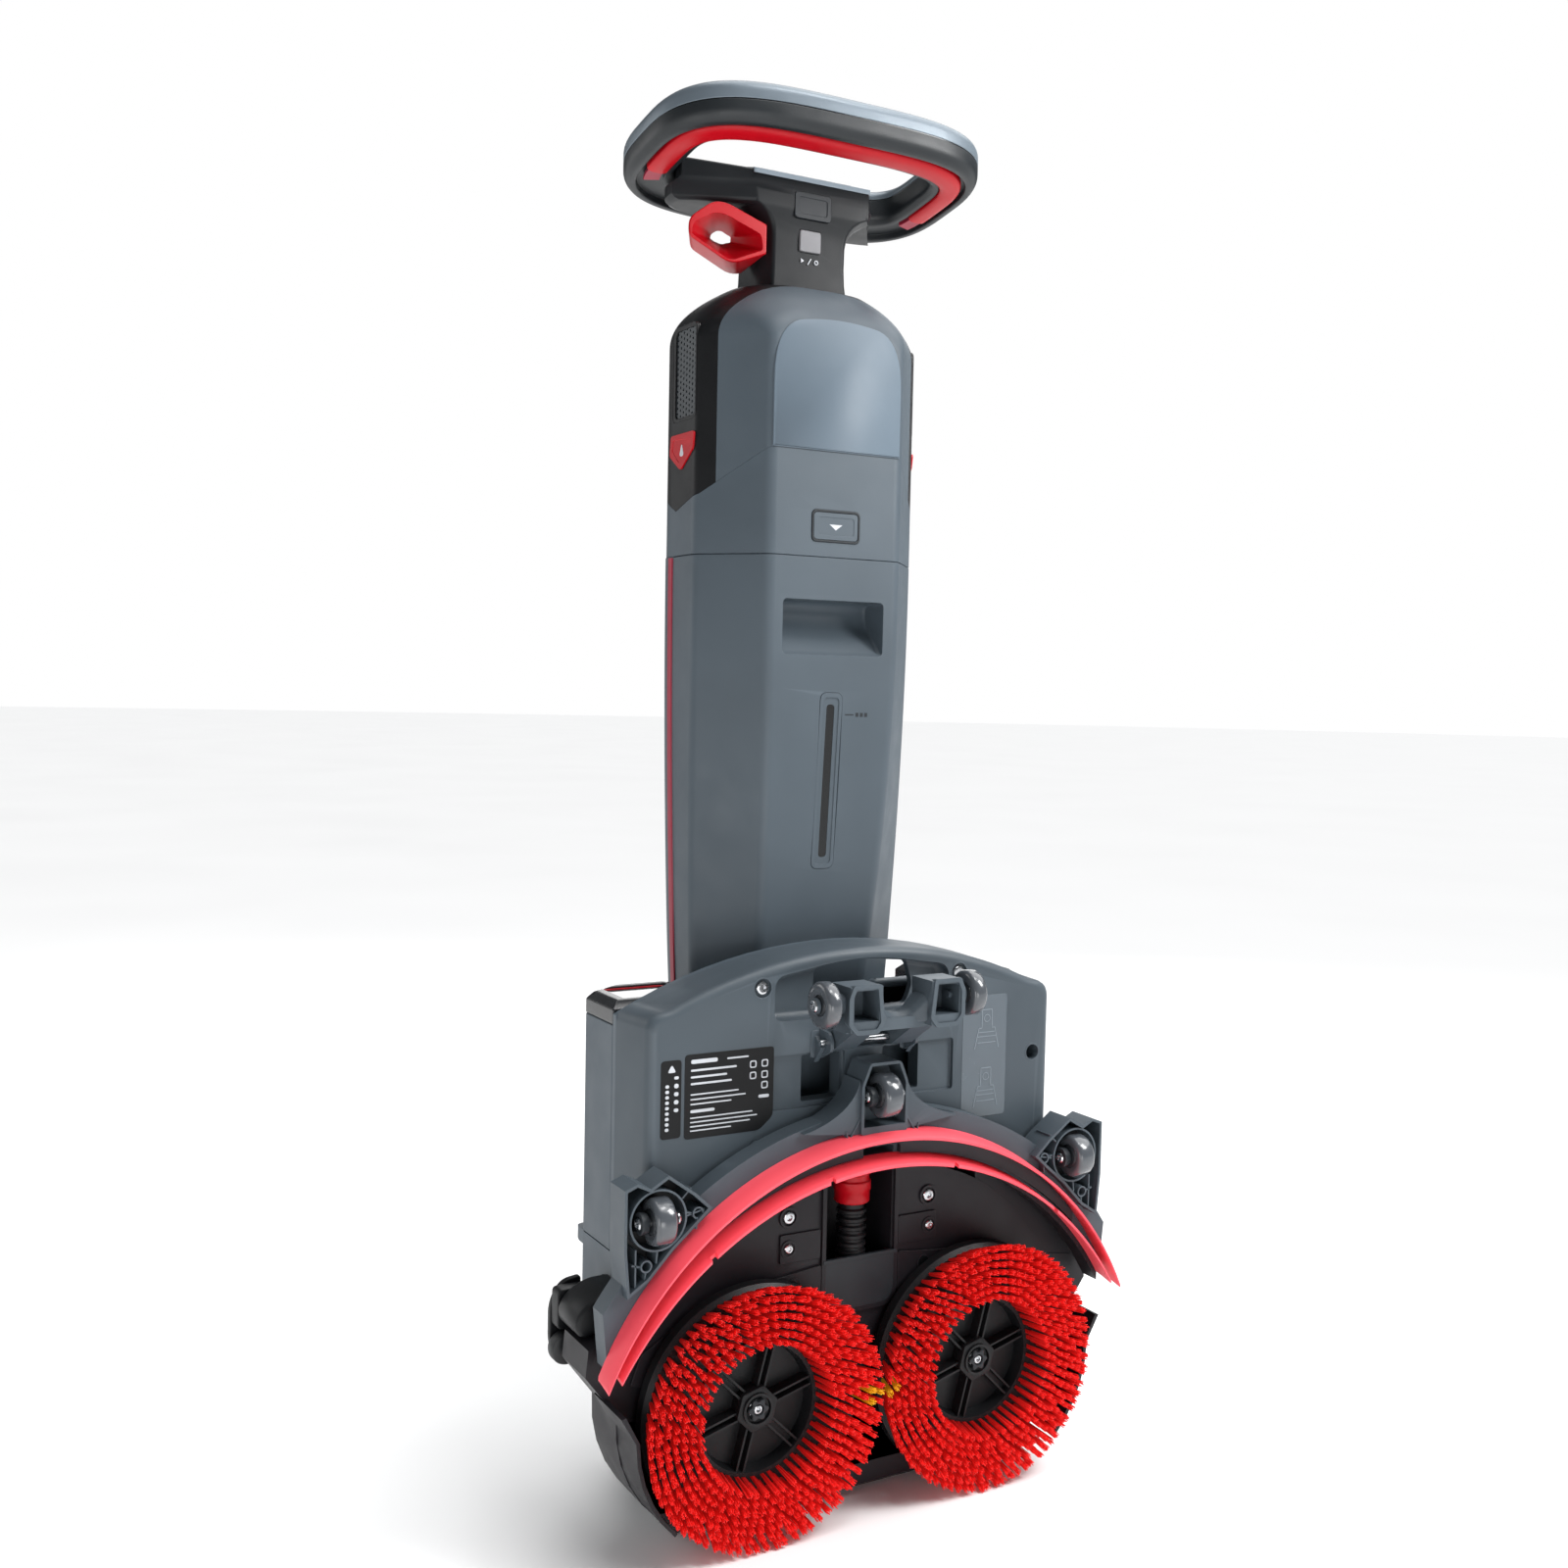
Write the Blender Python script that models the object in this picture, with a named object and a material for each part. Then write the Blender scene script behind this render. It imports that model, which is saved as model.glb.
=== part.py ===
"""Compact walk-behind wet and dry floor scrubber, tipped up on the front edge of its brush deck.

Frame: +Z up along the column, X across the machine (symmetry plane x = 0), -Y towards the underside
of the base and the user's side of the column. Shapes are drawn in millimetres in the machine's own
axes (y = 0 is the plane of the brush tips, z = 0 the deck's front edge), then set down in metres.
"""
import bpy
import bmesh
from math import cos, exp, pi, sin, sqrt
from mathutils import Vector

MM = 0.001
GAP = 0.3                      # clearance between touching pieces
WALL = 3.0                     # moulded wall thickness

# Brushes
BRUSH_R = 100.0
BRUSH_X = 101.0
BRUSH_Z = 100.6                # the bristles clear the deck's front edge by half a millimetre
BRISTLE_IN = 50.0
BRISTLE_LEN = 29.7

# Base, measured across X and up Z; y values are depths behind the brush tips
COVER_FRONT = 45.0
COVER_BACK = 90.2
COVER_HALF = 184.0
COVER_SIDE_TOP = 392.0
COVER_APEX = 438.0
CHASSIS_FRONT = 90.5
CHASSIS_BACK = 96.5
BOX_HALF = 190.0
BOX_INNER = 108.0
BOX_FRONT = 96.8
BOX_BACK = 169.0
BOX_BOTTOM = 211.3
BOX_TOP = 383.5
LID_TOP = 401.0

# Squeegee: two blades on arcs centred on the symmetry plane
FRONT_ARC_Z = 17.8
FRONT_ARC_R = 257.5
REAR_ARC_Z = 43.0
REAR_ARC_R = 252.5
BLADE = 3.0
FRAME_FRONT = 20.0
FRAME_BACK = 38.0
POST_X = 95.0                  # guide posts that hold the squeegee while it floats
POST_Z = 292.0
ROLLER_R = 17.0
ROLLER_X = 189.0
ROLLER_Z = 259.0
MID_ROLLER_Z = 329.5
ROLLER_Y = 13.0

# Transport wheels on their folding bracket
WHEEL_R = 17.5
WHEEL_X = 65.0
WHEEL_Y = -3.0
WHEEL_Z = 406.5
BRACKET_Y = 35.0
BRACKET_Z = 369.0

# Column
PIVOT_Y = 190.0
PIVOT_Z = 250.0
SHELL_BOTTOM = 266.5
TANK_BOTTOM = 276.0
TANK_HINGE_Y = 183.0
TANK_HINGE_Z = 279.0
SPLIT_Y = 186.0                # parting line between water tank and back shell
SEAM_Z = 743.3                 # top of the water tank
FRONT_SEAM_Z = 826.0           # top of the collar on the front face
HEAD_TOP = 960.0
CROWN_START = 912.0            # where the head starts to round over
COVER_SPLIT_Y = 137.0

# Handle loop
LOOP_HALF = 147.0
LOOP_FRONT = 78.0
LOOP_BACK = 254.0
LOOP_Z = 1065.6
LOOP_SLOPE = -0.17
LOOP_POWER = 3.6
BAR_A = 20.5                   # half the bar's width in the loop's plane
BAR_B = 17.0                   # half the bar's height

# The origin sits under the middle of the whole machine
FRONT_MOST = WHEEL_Y - WHEEL_R
ORIGIN_Y = (FRONT_MOST + LOOP_BACK) / 2

GREY = ("grey_plastic", (0.085, 0.105, 0.122), 0.42, 0.0)
BLACK = ("black_plastic", (0.012, 0.013, 0.015), 0.4, 0.0)
DARK = ("dark_plastic", (0.022, 0.025, 0.028), 0.5, 0.0)
GLOSS = ("gloss_black", (0.008, 0.009, 0.010), 0.15, 0.0)
RED = ("red_plastic", (0.55, 0.012, 0.03), 0.35, 0.0)
BRISTLE = ("red_bristle", (0.85, 0.008, 0.012), 0.5, 0.0)
BLADE_RED = ("blade_rubber", (0.65, 0.06, 0.08), 0.5, 0.0)
WHEEL_GREY = ("wheel_rubber", (0.05, 0.055, 0.06), 0.3, 0.0)
STEEL = ("steel", (0.6, 0.6, 0.6), 0.25, 1.0)
ALU = ("aluminium", (0.7, 0.7, 0.72), 0.35, 1.0)
SILVER = ("silver_button", (0.45, 0.46, 0.47), 0.4, 0.3)
CLEAR = ("smoked_window", (0.02, 0.024, 0.028), 0.1, 0.0)
BOARD = ("circuit_board", (0.01, 0.12, 0.05), 0.5, 0.0)
MOTOR = ("motor_steel", (0.35, 0.36, 0.37), 0.4, 0.9)


COLUMN_PIECES = (
    "column_back_shell", "left_red_stripe", "right_red_stripe", "column_collar", "head_cover",
    "head_back_shell", "left_speaker_grille", "right_speaker_grille", "left_side_badge",
    "right_side_badge", "handle_core", "handle_cover", "handle_neck", "display_screen",
    "hanging_hook", "spine_tube")


def clear_scene():
    for obj in list(bpy.data.objects):
        bpy.data.objects.remove(obj, do_unlink=True)


def material(spec):
    name, colour, rough, metal = spec
    mat = bpy.data.materials.get(name) or bpy.data.materials.new(name)
    mat.use_nodes = True
    shader = mat.node_tree.nodes["Principled BSDF"]
    shader.inputs["Base Color"].default_value = (*colour, 1.0)
    shader.inputs["Roughness"].default_value = rough
    shader.inputs["Metallic"].default_value = metal
    return mat


def mirrored(points):
    """The same outline on the other side of x = 0, wound the same way round."""
    return [(-u, v) for u, v in reversed(points)]


def arc(centre_z, radius, start_x, end_x, steps=20):
    """Points (x, z) along an arc centred on the symmetry plane, evenly spaced in x."""
    xs = [start_x + (end_x - start_x) * i / steps for i in range(steps + 1)]
    return [(x, centre_z + sqrt(radius * radius - x * x)) for x in xs]


def circle(u, v, radius, steps=24):
    angles = [2 * pi * i / steps for i in range(steps)]
    return [(u + radius * cos(a), v + radius * sin(a)) for a in angles]


def rectangle(u0, u1, v0, v1):
    return [(u0, v0), (u1, v0), (u1, v1), (u0, v1)]


def solid_point(axis, u, v, height):
    """A point from outline coordinates: (y, z) for x, (x, z) for y, (x, y) for z."""
    if axis == "x":
        return Vector((height, u, v))
    if axis == "y":
        return Vector((u, height, v))
    return Vector((u, v, height))


def make_object(name, mesh_data, spec, pivot=(0, 0, 0)):
    """Names the mesh, gives it its material and hangs it on the machine with its origin at pivot (mm)."""
    bmesh.ops.recalc_face_normals(mesh_data, faces=mesh_data.faces)
    for vert in mesh_data.verts:
        vert.co = (vert.co - Vector(pivot)) * MM
    mesh = bpy.data.meshes.new(name)
    mesh_data.to_mesh(mesh)
    mesh_data.free()
    mesh.shade_smooth()
    mesh.set_sharp_from_angle(angle=0.6)
    obj = bpy.data.objects.new(name, mesh)
    obj.location = Vector(pivot) * MM
    obj.parent = bpy.data.objects["machine"]
    bpy.context.scene.collection.objects.link(obj)
    if spec:
        mesh.materials.append(material(spec))
    else:
        obj.hide_render = True
        obj.display_type = "WIRE"
    return obj


def loft(name, rings, spec, pivot=(0, 0, 0), closed=False):
    """Skins rings of equal length; closed joins the last ring to the first instead of capping."""
    bm = bmesh.new()
    rows = [[bm.verts.new(p) for p in ring] for ring in rings]
    count = len(rows[0])
    pairs = list(zip(rows, rows[1:]))
    if closed:
        pairs.append((rows[-1], rows[0]))
    for low, high in pairs:
        for i in range(count):
            j = (i + 1) % count
            bm.faces.new((low[i], low[j], high[j], high[i]))
    if not closed:
        bm.faces.new(rows[0])
        bm.faces.new(rows[-1])
    return make_object(name, bm, spec, pivot)


def prism(name, outline, axis, low, high, spec, pivot=(0, 0, 0)):
    rings = [[solid_point(axis, u, v, h) for u, v in outline] for h in (low, high)]
    return loft(name, rings, spec, pivot)


def block(name, low, high, spec, pivot=(0, 0, 0)):
    outline = rectangle(low[0], high[0], low[1], high[1])
    return prism(name, outline, "z", low[2], high[2], spec, pivot)


def rod(name, axis, u, v, radius, low, high, spec, pivot=(0, 0, 0), steps=24):
    return prism(name, circle(u, v, radius, steps), axis, low, high, spec, pivot)


def turned(name, profile, axis, centre, spec, steps=32):
    """A closed profile of (radius, height) spun about an axis through centre; the axis is not touched."""
    rings = []
    for i in range(steps):
        angle = 2 * pi * i / steps
        ring = []
        for radius, height in profile:
            a, b = radius * cos(angle), radius * sin(angle)
            offset = solid_point(axis, a, b, height)
            ring.append(Vector(centre) + offset)
        rings.append(ring)
    return loft(name, rings, spec, centre, closed=True)


def combine(target, tool, operation):
    mod = target.modifiers.new(operation.lower(), "BOOLEAN")
    mod.operation = operation
    mod.object = tool
    tool.hide_render = True
    tool.display_type = "WIRE"


def cut(target, *tools):
    for tool in tools:
        combine(target, tool, "DIFFERENCE")


def fuse(target, *tools):
    for tool in tools:
        combine(target, tool, "UNION")


# ---------------------------------------------------------------- base

def cover_outline(inset):
    """Underside outline: arched top, straight sides, and a hollow arc along the squeegee."""
    half = COVER_HALF - inset
    rise = COVER_APEX - COVER_SIDE_TOP
    radius = (COVER_HALF ** 2 + rise ** 2) / (2 * rise)
    top = arc(COVER_APEX - radius, radius - inset, half, -half)
    bottom = arc(FRONT_ARC_Z, 262 + inset, -half, half)
    return bottom + top


def window_outline(grow=0.0):
    side = 80 + grow
    return [(-side, 386 - grow), (side, 386 - grow), (side, 420)] + [(0, 429 + grow), (-side, 420)]


def make_base_cover():
    front = [Vector((x, COVER_FRONT, z)) for x, z in cover_outline(2.0)]
    edge = [Vector((x, COVER_FRONT + 3, z)) for x, z in cover_outline(0.0)]
    back = [Vector((x * BOX_HALF / COVER_HALF, COVER_BACK, z)) for x, z in cover_outline(0.0)]
    cover = loft("base_cover", [front, edge, back], GREY)
    hollow = prism("cover_hollow", cover_outline(WALL + 1), "y", COVER_FRONT + WALL, COVER_BACK + 5, None)
    window = prism("cover_window", window_outline(), "y", 30, 110, None)
    cut(cover, hollow, window)
    for side in (-1, 1):
        tag = "left" if side < 0 else "right"
        x0, x1 = sorted((side * 20, side * 72))
        lining = block(f"{tag}_pocket_lining", (x0 - 2, 46, 321), (x1 + 2, 60, 358), None)
        pocket = block(f"{tag}_pocket", (x0, 30, 323), (x1, 58, 356), None)
        fuse(cover, lining)
        cut(cover, pocket)
        lug = prism(f"{tag}_lug", [(27, 362), (46, 362), (46, 376), (27, 376)], "x",
                    side * 38, side * 44, None)
        fuse(cover, lug)
        post_hole = rod(f"{tag}_post_hole", "y", side * POST_X, POST_Z, 5.5, 30, 60, None)
        cut(cover, post_hole)
    fuse(cover, rod("bracket_pin", "x", BRACKET_Y, BRACKET_Z, 2.5, -45.5, 45.5, None, steps=16))


def make_chassis():
    outline = [(x * BOX_HALF / COVER_HALF, z) for x, z in cover_outline(0.0)]
    chassis = prism("chassis", outline, "y", CHASSIS_FRONT, CHASSIS_BACK, GREY)
    cut(chassis, prism("chassis_window", window_outline(4), "y", 80, 110, None))
    foot = [(-190, 168), (-130, 168), (-130, BOX_BOTTOM - GAP), (-190, BOX_BOTTOM - GAP)]
    for side in (-1, 1):
        tag = "left" if side < 0 else "right"
        shape = foot if side < 0 else mirrored(foot)
        fuse(chassis, prism(f"{tag}_foot", shape, "y", CHASSIS_FRONT, 149, None))
        arm = [(CHASSIS_FRONT + 2, 271), (122, 238), (PIVOT_Y, 238), (PIVOT_Y, 262), (140, 262),
               (CHASSIS_FRONT + 2, 286)]
        x0, x1 = side * 64, side * 76
        fuse(chassis, prism(f"{tag}_arm", arm, "x", x0, x1, None))
        fuse(chassis, rod(f"{tag}_arm_eye", "x", PIVOT_Y, PIVOT_Z, 14, x0, x1, None))
    fuse(chassis, rod("pivot_pin", "x", PIVOT_Y, PIVOT_Z, 7.0, -79, 79, None))


def box_outline(side, inset=0.0):
    left = [(-BOX_HALF + inset, BOX_FRONT + inset), (-BOX_INNER - inset, BOX_FRONT + inset),
            (-BOX_INNER - inset, BOX_BACK - 4 - inset), (-BOX_INNER - 4 - inset, BOX_BACK - inset),
            (-163 + inset / 2, BOX_BACK - inset), (-BOX_HALF + inset, 149 - inset / 2)]
    return left if side < 0 else mirrored(left)


def make_side_boxes():
    names = {-1: ("waste_tank", "waste_tank_lid"), 1: ("battery_case", "battery_lid")}
    for side, (box_name, lid_name) in names.items():
        case = prism(box_name, box_outline(side), "z", BOX_BOTTOM, BOX_TOP, GREY)
        inside = box_outline(side, WALL)
        cut(case, prism(f"{box_name}_hollow", inside, "z", BOX_BOTTOM + WALL, BOX_TOP + 9, None))
        pivot = (side * 149, BOX_BACK, BOX_TOP + GAP)
        rings = [[Vector((x, y, z)) for x, y in box_outline(side, inset)]
                 for inset, z in ((0, BOX_TOP + GAP), (0, LID_TOP - 6), (5, LID_TOP - 1.2), (8, LID_TOP))]
        lid = loft(lid_name, rings, GLOSS, pivot)
        x0, x1 = sorted((side * 120, side * 176))
        cut(lid, block(f"{lid_name}_recess", (x0, 108, LID_TOP - 3), (x1, 156, LID_TOP + 9), None))
    block("battery_pack", (115, 103, 216), (172, 158, 370), DARK)


def make_base_internals():
    motor = rod("vacuum_motor", "y", -135, 333, 36, 52, 86, MOTOR, steps=32)
    fuse(motor, block("vacuum_outlet", (-112, 60, 300), (-98, 80, 322), None))
    pump = block("water_pump", (128, 55, 253), (164, 84, 282), DARK)
    fuse(pump, rod("pump_head", "z", 146, 70, 9, 281, 296, None, steps=16))
    block("control_board", (98, 78, 306), (172, 80, 366), BOARD)


def brush_arc(radius, start, end, steps=5):
    """Points (x, z) round the left brush's outer lower side, angles in degrees below the -X axis."""
    angles = [(start + (end - start) * i / steps) * pi / 180 for i in range(steps + 1)]
    return [(-BRUSH_X - radius * cos(a), BRUSH_Z - radius * sin(a)) for a in angles]


def deck_outline(chamfer=0.0):
    """Deck outline round both brushes; chamfer lifts the front edge."""
    left = [(-150, 0)] + brush_arc(BRUSH_R + 5, 48, -4) + [(-230, 140), (-228, 160), (-190, 166.5)]
    top = [(-150, 214.5)] + arc(FRONT_ARC_Z, 250, -120, 120, 12) + [(150, 214.5)]
    right = [(-x, z) for x, z in reversed(left)]
    outline = left + top + right
    return [(x, z + (chamfer if z == 0 else 0)) for x, z in outline]


def make_deck():
    """Shallow brush deck with a chamfered front edge, side skirts and the hose channel."""
    rings = [[Vector((x, y, z)) for x, z in deck_outline(lift)]
             for lift, y in ((9, COVER_FRONT), (0, 58), (0, COVER_BACK))]
    deck = loft("brush_deck", rings, BLACK)
    skirt = brush_arc(BRUSH_R + 4.3, 46, 0) + [(-217, 121), (-213.5, 122)] + brush_arc(BRUSH_R + 1.3, 0, 46)
    for side in (-1, 1):
        tag = "left" if side < 0 else "right"
        shape = skirt if side < 0 else mirrored(skirt)
        fuse(deck, prism(f"{tag}_skirt", shape, "y", 10, 60, None))
        bore = rod(f"{tag}_shaft_bore", "y", side * BRUSH_X, BRUSH_Z, 16, 40, 95, None)
        hole = rod(f"{tag}_deck_hole", "y", side * 60, 184.5, 5, 40, 56, None, steps=16)
        cut(deck, bore, hole)
    cut(deck, block("hose_channel", (-30, 40, 151), (30, 86, 285), None))


def make_deck_cover():
    """Domed cover behind the brush motors, flat underneath so that the machine stands on it."""
    def ring(y, low, mid, top, z_mid, z_top):
        left = [(-low, 0), (-mid, z_mid), (-top, z_top)]
        outline = left + [(-x, z) for x, z in reversed(left)]
        return [Vector((x, y, z)) for x, z in outline]
    rings = [ring(CHASSIS_FRONT, 146, 188, 180, 100, 158), ring(140, 134, 164, 158, 92, 156),
             ring(182, 118, 142, 134, 80, 140), ring(198, 108, 126, 116, 70, 120)]
    cover = loft("deck_cover", rings, BLACK)
    for side in (-1, 1):
        tag = "left" if side < 0 else "right"
        bay = rod(f"{tag}_motor_bay", "y", side * BRUSH_X, BRUSH_Z - 12, 42, CHASSIS_FRONT - 5, 176, None)
        cut(cover, bay)


def make_brush(side):
    tag = "left" if side < 0 else "right"
    centre = (side * BRUSH_X, 0, BRUSH_Z)
    disc = [(7.4, 22), (18, 22), (18, 30), (50, 30), (90, 30), (93, 33), (93, 38), (86, 42), (7.4, 42)]
    turned(f"{tag}_brush_disc", disc, "y", centre, BLACK, steps=36)
    tuft = [(BRISTLE_IN + 4, 0), (BRUSH_R, 0), (BRUSH_R - 9, BRISTLE_LEN), (BRISTLE_IN, BRISTLE_LEN)]
    turned(f"{tag}_brush_bristles", tuft, "y", centre, BRISTLE, steps=48)
    shaft = rod(f"{tag}_drive_shaft", "y", centre[0], centre[2], 7, 20, CHASSIS_FRONT, STEEL, centre)
    fuse(shaft, rod(f"{tag}_bolt_head", "y", centre[0], centre[2], 9, 17.5, 22 - GAP, None, steps=6))
    rod(f"{tag}_brush_motor", "y", centre[0], centre[2] - 12, 36, CHASSIS_FRONT + 1, 170, MOTOR)


def make_bumper(side):
    tag = "left" if side < 0 else "right"
    outline = [(-196, 168), (-231, 164), (-232, 178), (-226, 192), (-205, 204), (-191, 204), (-191, 168)]
    shape = outline if side < 0 else mirrored(outline)
    bumper = prism(f"{tag}_bumper", shape, "y", 60, 89, GREY)
    arm = [(-205, 122), (-226, 128), (-231, 166), (-208, 170)]
    arm = arm if side < 0 else mirrored(arm)
    fuse(bumper, prism(f"{tag}_bumper_arm", arm, "y", CHASSIS_FRONT + GAP, 118, None))
    link = [(-205, 168), (-231, 168), (-231, 185), (-205, 190)]
    link = link if side < 0 else mirrored(link)
    fuse(bumper, prism(f"{tag}_bumper_link", link, "y", 80, 118, None))
    centre = (side * 222, 0, 140)
    cut(bumper, rod(f"{tag}_roller_well", "y", centre[0], centre[2], 15, 98, 112, None))
    fuse(bumper, rod(f"{tag}_roller_axle", "y", centre[0], centre[2], 3, 95, 115, None, steps=12))
    ring = [(3.4, 99), (11, 99), (12, 100.5), (12, 109.5), (11, 111), (3.4, 111)]
    turned(f"{tag}_bumper_roller", ring, "y", centre, WHEEL_GREY, steps=20)


# ---------------------------------------------------------------- squeegee

def blade_strip(name, centre_z, radius, half, spec):
    """Rubber strip on an arc; its root sits a little further out than its wiping edge."""
    def ring(x):
        rise = sqrt(radius * radius - x * x)
        lean = 4.0
        z = centre_z + rise
        return [Vector((x, 0, z)), Vector((x, 0, z + BLADE)),
                Vector((x, FRAME_FRONT - GAP, z + BLADE + lean)), Vector((x, FRAME_FRONT - GAP, z + lean))]
    steps = 24
    rings = [ring(-half + 2 * half * i / steps) for i in range(steps + 1)]
    return loft(name, rings, spec)


def roller(name, x, z, half_width):
    centre = (x, ROLLER_Y, z)
    edge = 2.0
    ring = [(3.3, -half_width), (ROLLER_R - edge, -half_width), (ROLLER_R, edge - half_width),
            (ROLLER_R, half_width - edge), (ROLLER_R - edge, half_width), (3.3, half_width)]
    return turned(name, ring, "x", centre, WHEEL_GREY, steps=24)


def make_squeegee():
    half = 228
    inner = arc(FRONT_ARC_Z, 254, -half, half, 24)
    outer = arc(REAR_ARC_Z, 274, half, -half, 24)
    frame = prism("squeegee_frame", inner + outer, "y", FRAME_FRONT, FRAME_BACK, GREY)
    pocket = [(-216, 240), (-213, 206), (-196, 217), (-178, 236), (-158, 253), (-147, 263), (-160, 275),
              (-182, 291), (-196, 283), (-206, 288), (-216, 284)]
    for side in (-1, 1):
        tag = "left" if side < 0 else "right"
        shape = pocket if side < 0 else mirrored(pocket)
        x = side * ROLLER_X
        fuse(frame, prism(f"{tag}_roller_pocket", shape, "y", 12, FRAME_BACK, None))
        low, high = (x - 8.5, 5, ROLLER_Z - 19), (x + 8.5, 33.5, ROLLER_Z + 19)
        cut(frame, block(f"{tag}_roller_slot", low, high, None))
        fuse(frame, rod(f"{tag}_roller_pin", "x", ROLLER_Y, ROLLER_Z, 3, x - 10, x + 10, None, steps=12))
        post_x = side * POST_X
        fuse(frame, rod(f"{tag}_guide_post", "y", post_x, POST_Z, 5, FRAME_BACK - 2, 62, None, steps=16))
        boss = rod(f"{tag}_post_boss", "y", post_x, POST_Z, 7, FRAME_FRONT + 4, FRAME_BACK, None, steps=16)
        fuse(frame, boss)
    housing = [(-21, 303.6), (21, 303.6), (21, 338), (14, 355), (-14, 355), (-21, 338)]
    fuse(frame, prism("middle_housing", housing, "y", 12, FRAME_BACK, None))
    cut(frame, block("middle_slot", (-8.5, 5, MID_ROLLER_Z - 19), (8.5, 33.5, MID_ROLLER_Z + 19), None))
    fuse(frame, rod("middle_pin", "x", ROLLER_Y, MID_ROLLER_Z, 3, -10, 10, None, steps=12))
    fuse(frame, block("suction_neck", (-16, 36, 271.5), (16, 72, 278.5), None))
    cut(frame, block("suction_slot", (-14, 5, 281.5), (14, 45, 288), None))
    blade_strip("front_blade", FRONT_ARC_Z, FRONT_ARC_R, 221, BLADE_RED)
    blade_strip("rear_blade", REAR_ARC_Z, REAR_ARC_R, 231, BLADE_RED)
    low = arc(FRONT_ARC_Z, 264.6 + GAP, -190, 190, 24)
    high = arc(REAR_ARC_Z, REAR_ARC_R + 1.5 - GAP, 190, -190, 24)
    channel = prism("suction_channel", low + high, "y", 15, FRAME_FRONT - GAP, DARK)
    cut(channel, block("channel_slot", (-13, 5, 284.2), (13, 25, 290), None))
    roller("left_squeegee_roller", -ROLLER_X, ROLLER_Z, 8)
    roller("right_squeegee_roller", ROLLER_X, ROLLER_Z, 8)
    roller("middle_squeegee_roller", 0, MID_ROLLER_Z, 8)
    rod("hose_cuff", "z", 0, 57, 15, 235, 271.2, RED)
    rod("suction_hose", "z", 0, 57, 12, 152, 234.7, BLACK)


# ---------------------------------------------------------------- transport wheels

def make_transport_wheels():
    pivot = (0, BRACKET_Y, BRACKET_Z)
    bracket = block("wheel_bracket", (-48, -6, 384), (48, 12, 393), GREY, pivot)
    web = [(31, 363.5), (40, 366), (40, 374), (12, 393), (2, 393), (0, 384)]
    fuse(bracket, prism("bracket_web", web, "x", -36, 36, None))
    fuse(bracket, rod("bracket_barrel", "x", BRACKET_Y, BRACKET_Z, 6, -36, 36, None, steps=16))
    cut(bracket, block("bracket_gap", (-16, 4, 355), (16, 50, 386), None))
    for side in (-1, 1):
        tag = "left" if side < 0 else "right"
        x0, x1 = sorted((side * 22, side * 50))
        fuse(bracket, block(f"{tag}_bracket_box", (x0, -15, 386), (x1, 12, 420), None))
        cut(bracket, block(f"{tag}_bracket_pocket", (x0 + 3, -20, 394), (x1 - 3, 8, 417), None))
        axle = rod(f"{tag}_wheel_axle", "x", WHEEL_Y, WHEEL_Z, 3, side * 44, side * 74, None, steps=12)
        cap = rod(f"{tag}_wheel_cap", "x", WHEEL_Y, WHEEL_Z, 6, side * 71.6, side * 74, None, steps=16)
        fuse(bracket, axle, cap)
        centre = (side * WHEEL_X, WHEEL_Y, WHEEL_Z)
        ring = [(3.3, -6), (15.5, -6), (WHEEL_R, -4), (WHEEL_R, 4), (15.5, 6), (3.3, 6)]
        turned(f"{tag}_transport_wheel", ring, "x", centre, WHEEL_GREY, steps=24)
    cut(bracket, rod("bracket_bore", "x", BRACKET_Y, BRACKET_Z, 2.8, -40, 40, None, steps=16))


# ---------------------------------------------------------------- column

def column_section(z, inset=0.0):
    """Six-sided section with a narrower front face; it slims and leans back below the tank's seam."""
    drop = max(0.0, SEAM_Z - z)
    lean = max(0.0, 700.0 - z)
    crown = max(0.0, z - CROWN_START) / (HEAD_TOP - CROWN_START)
    shrink = crown ** 2.2
    front = 103.0 + 2.6e-4 * lean ** 2 + 33 * shrink + inset
    half_front = 60.0 - 8.8e-5 * drop ** 2 - 20 * shrink - inset / 2
    half_side = 103.0 - 6.8e-5 * drop ** 2 - 43 * shrink - inset
    side_front = 146.0 + 1.25e-4 * drop ** 2 * exp(-drop / 600) + 14 * shrink
    side_front = max(side_front, front + 4 - inset)
    side_back = 206.0 - 15 * shrink
    back = 236.0 - 25 * shrink - inset
    half_back = half_side * 0.68
    left = [(-half_front, front), (-half_side, side_front), (-half_side, side_back), (-half_back, back)]
    return left + [(-x, y) for x, y in reversed(left)]


def column_solid(name, heights, spec, inset=0.0, pivot=(0, 0, 0)):
    rings = [[Vector((x, y, z)) for x, y in column_section(z, inset)] for z in heights]
    return loft(name, rings, spec, pivot)


def heights(low, high, steps):
    return [low + (high - low) * i / steps for i in range(steps + 1)]


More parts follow.
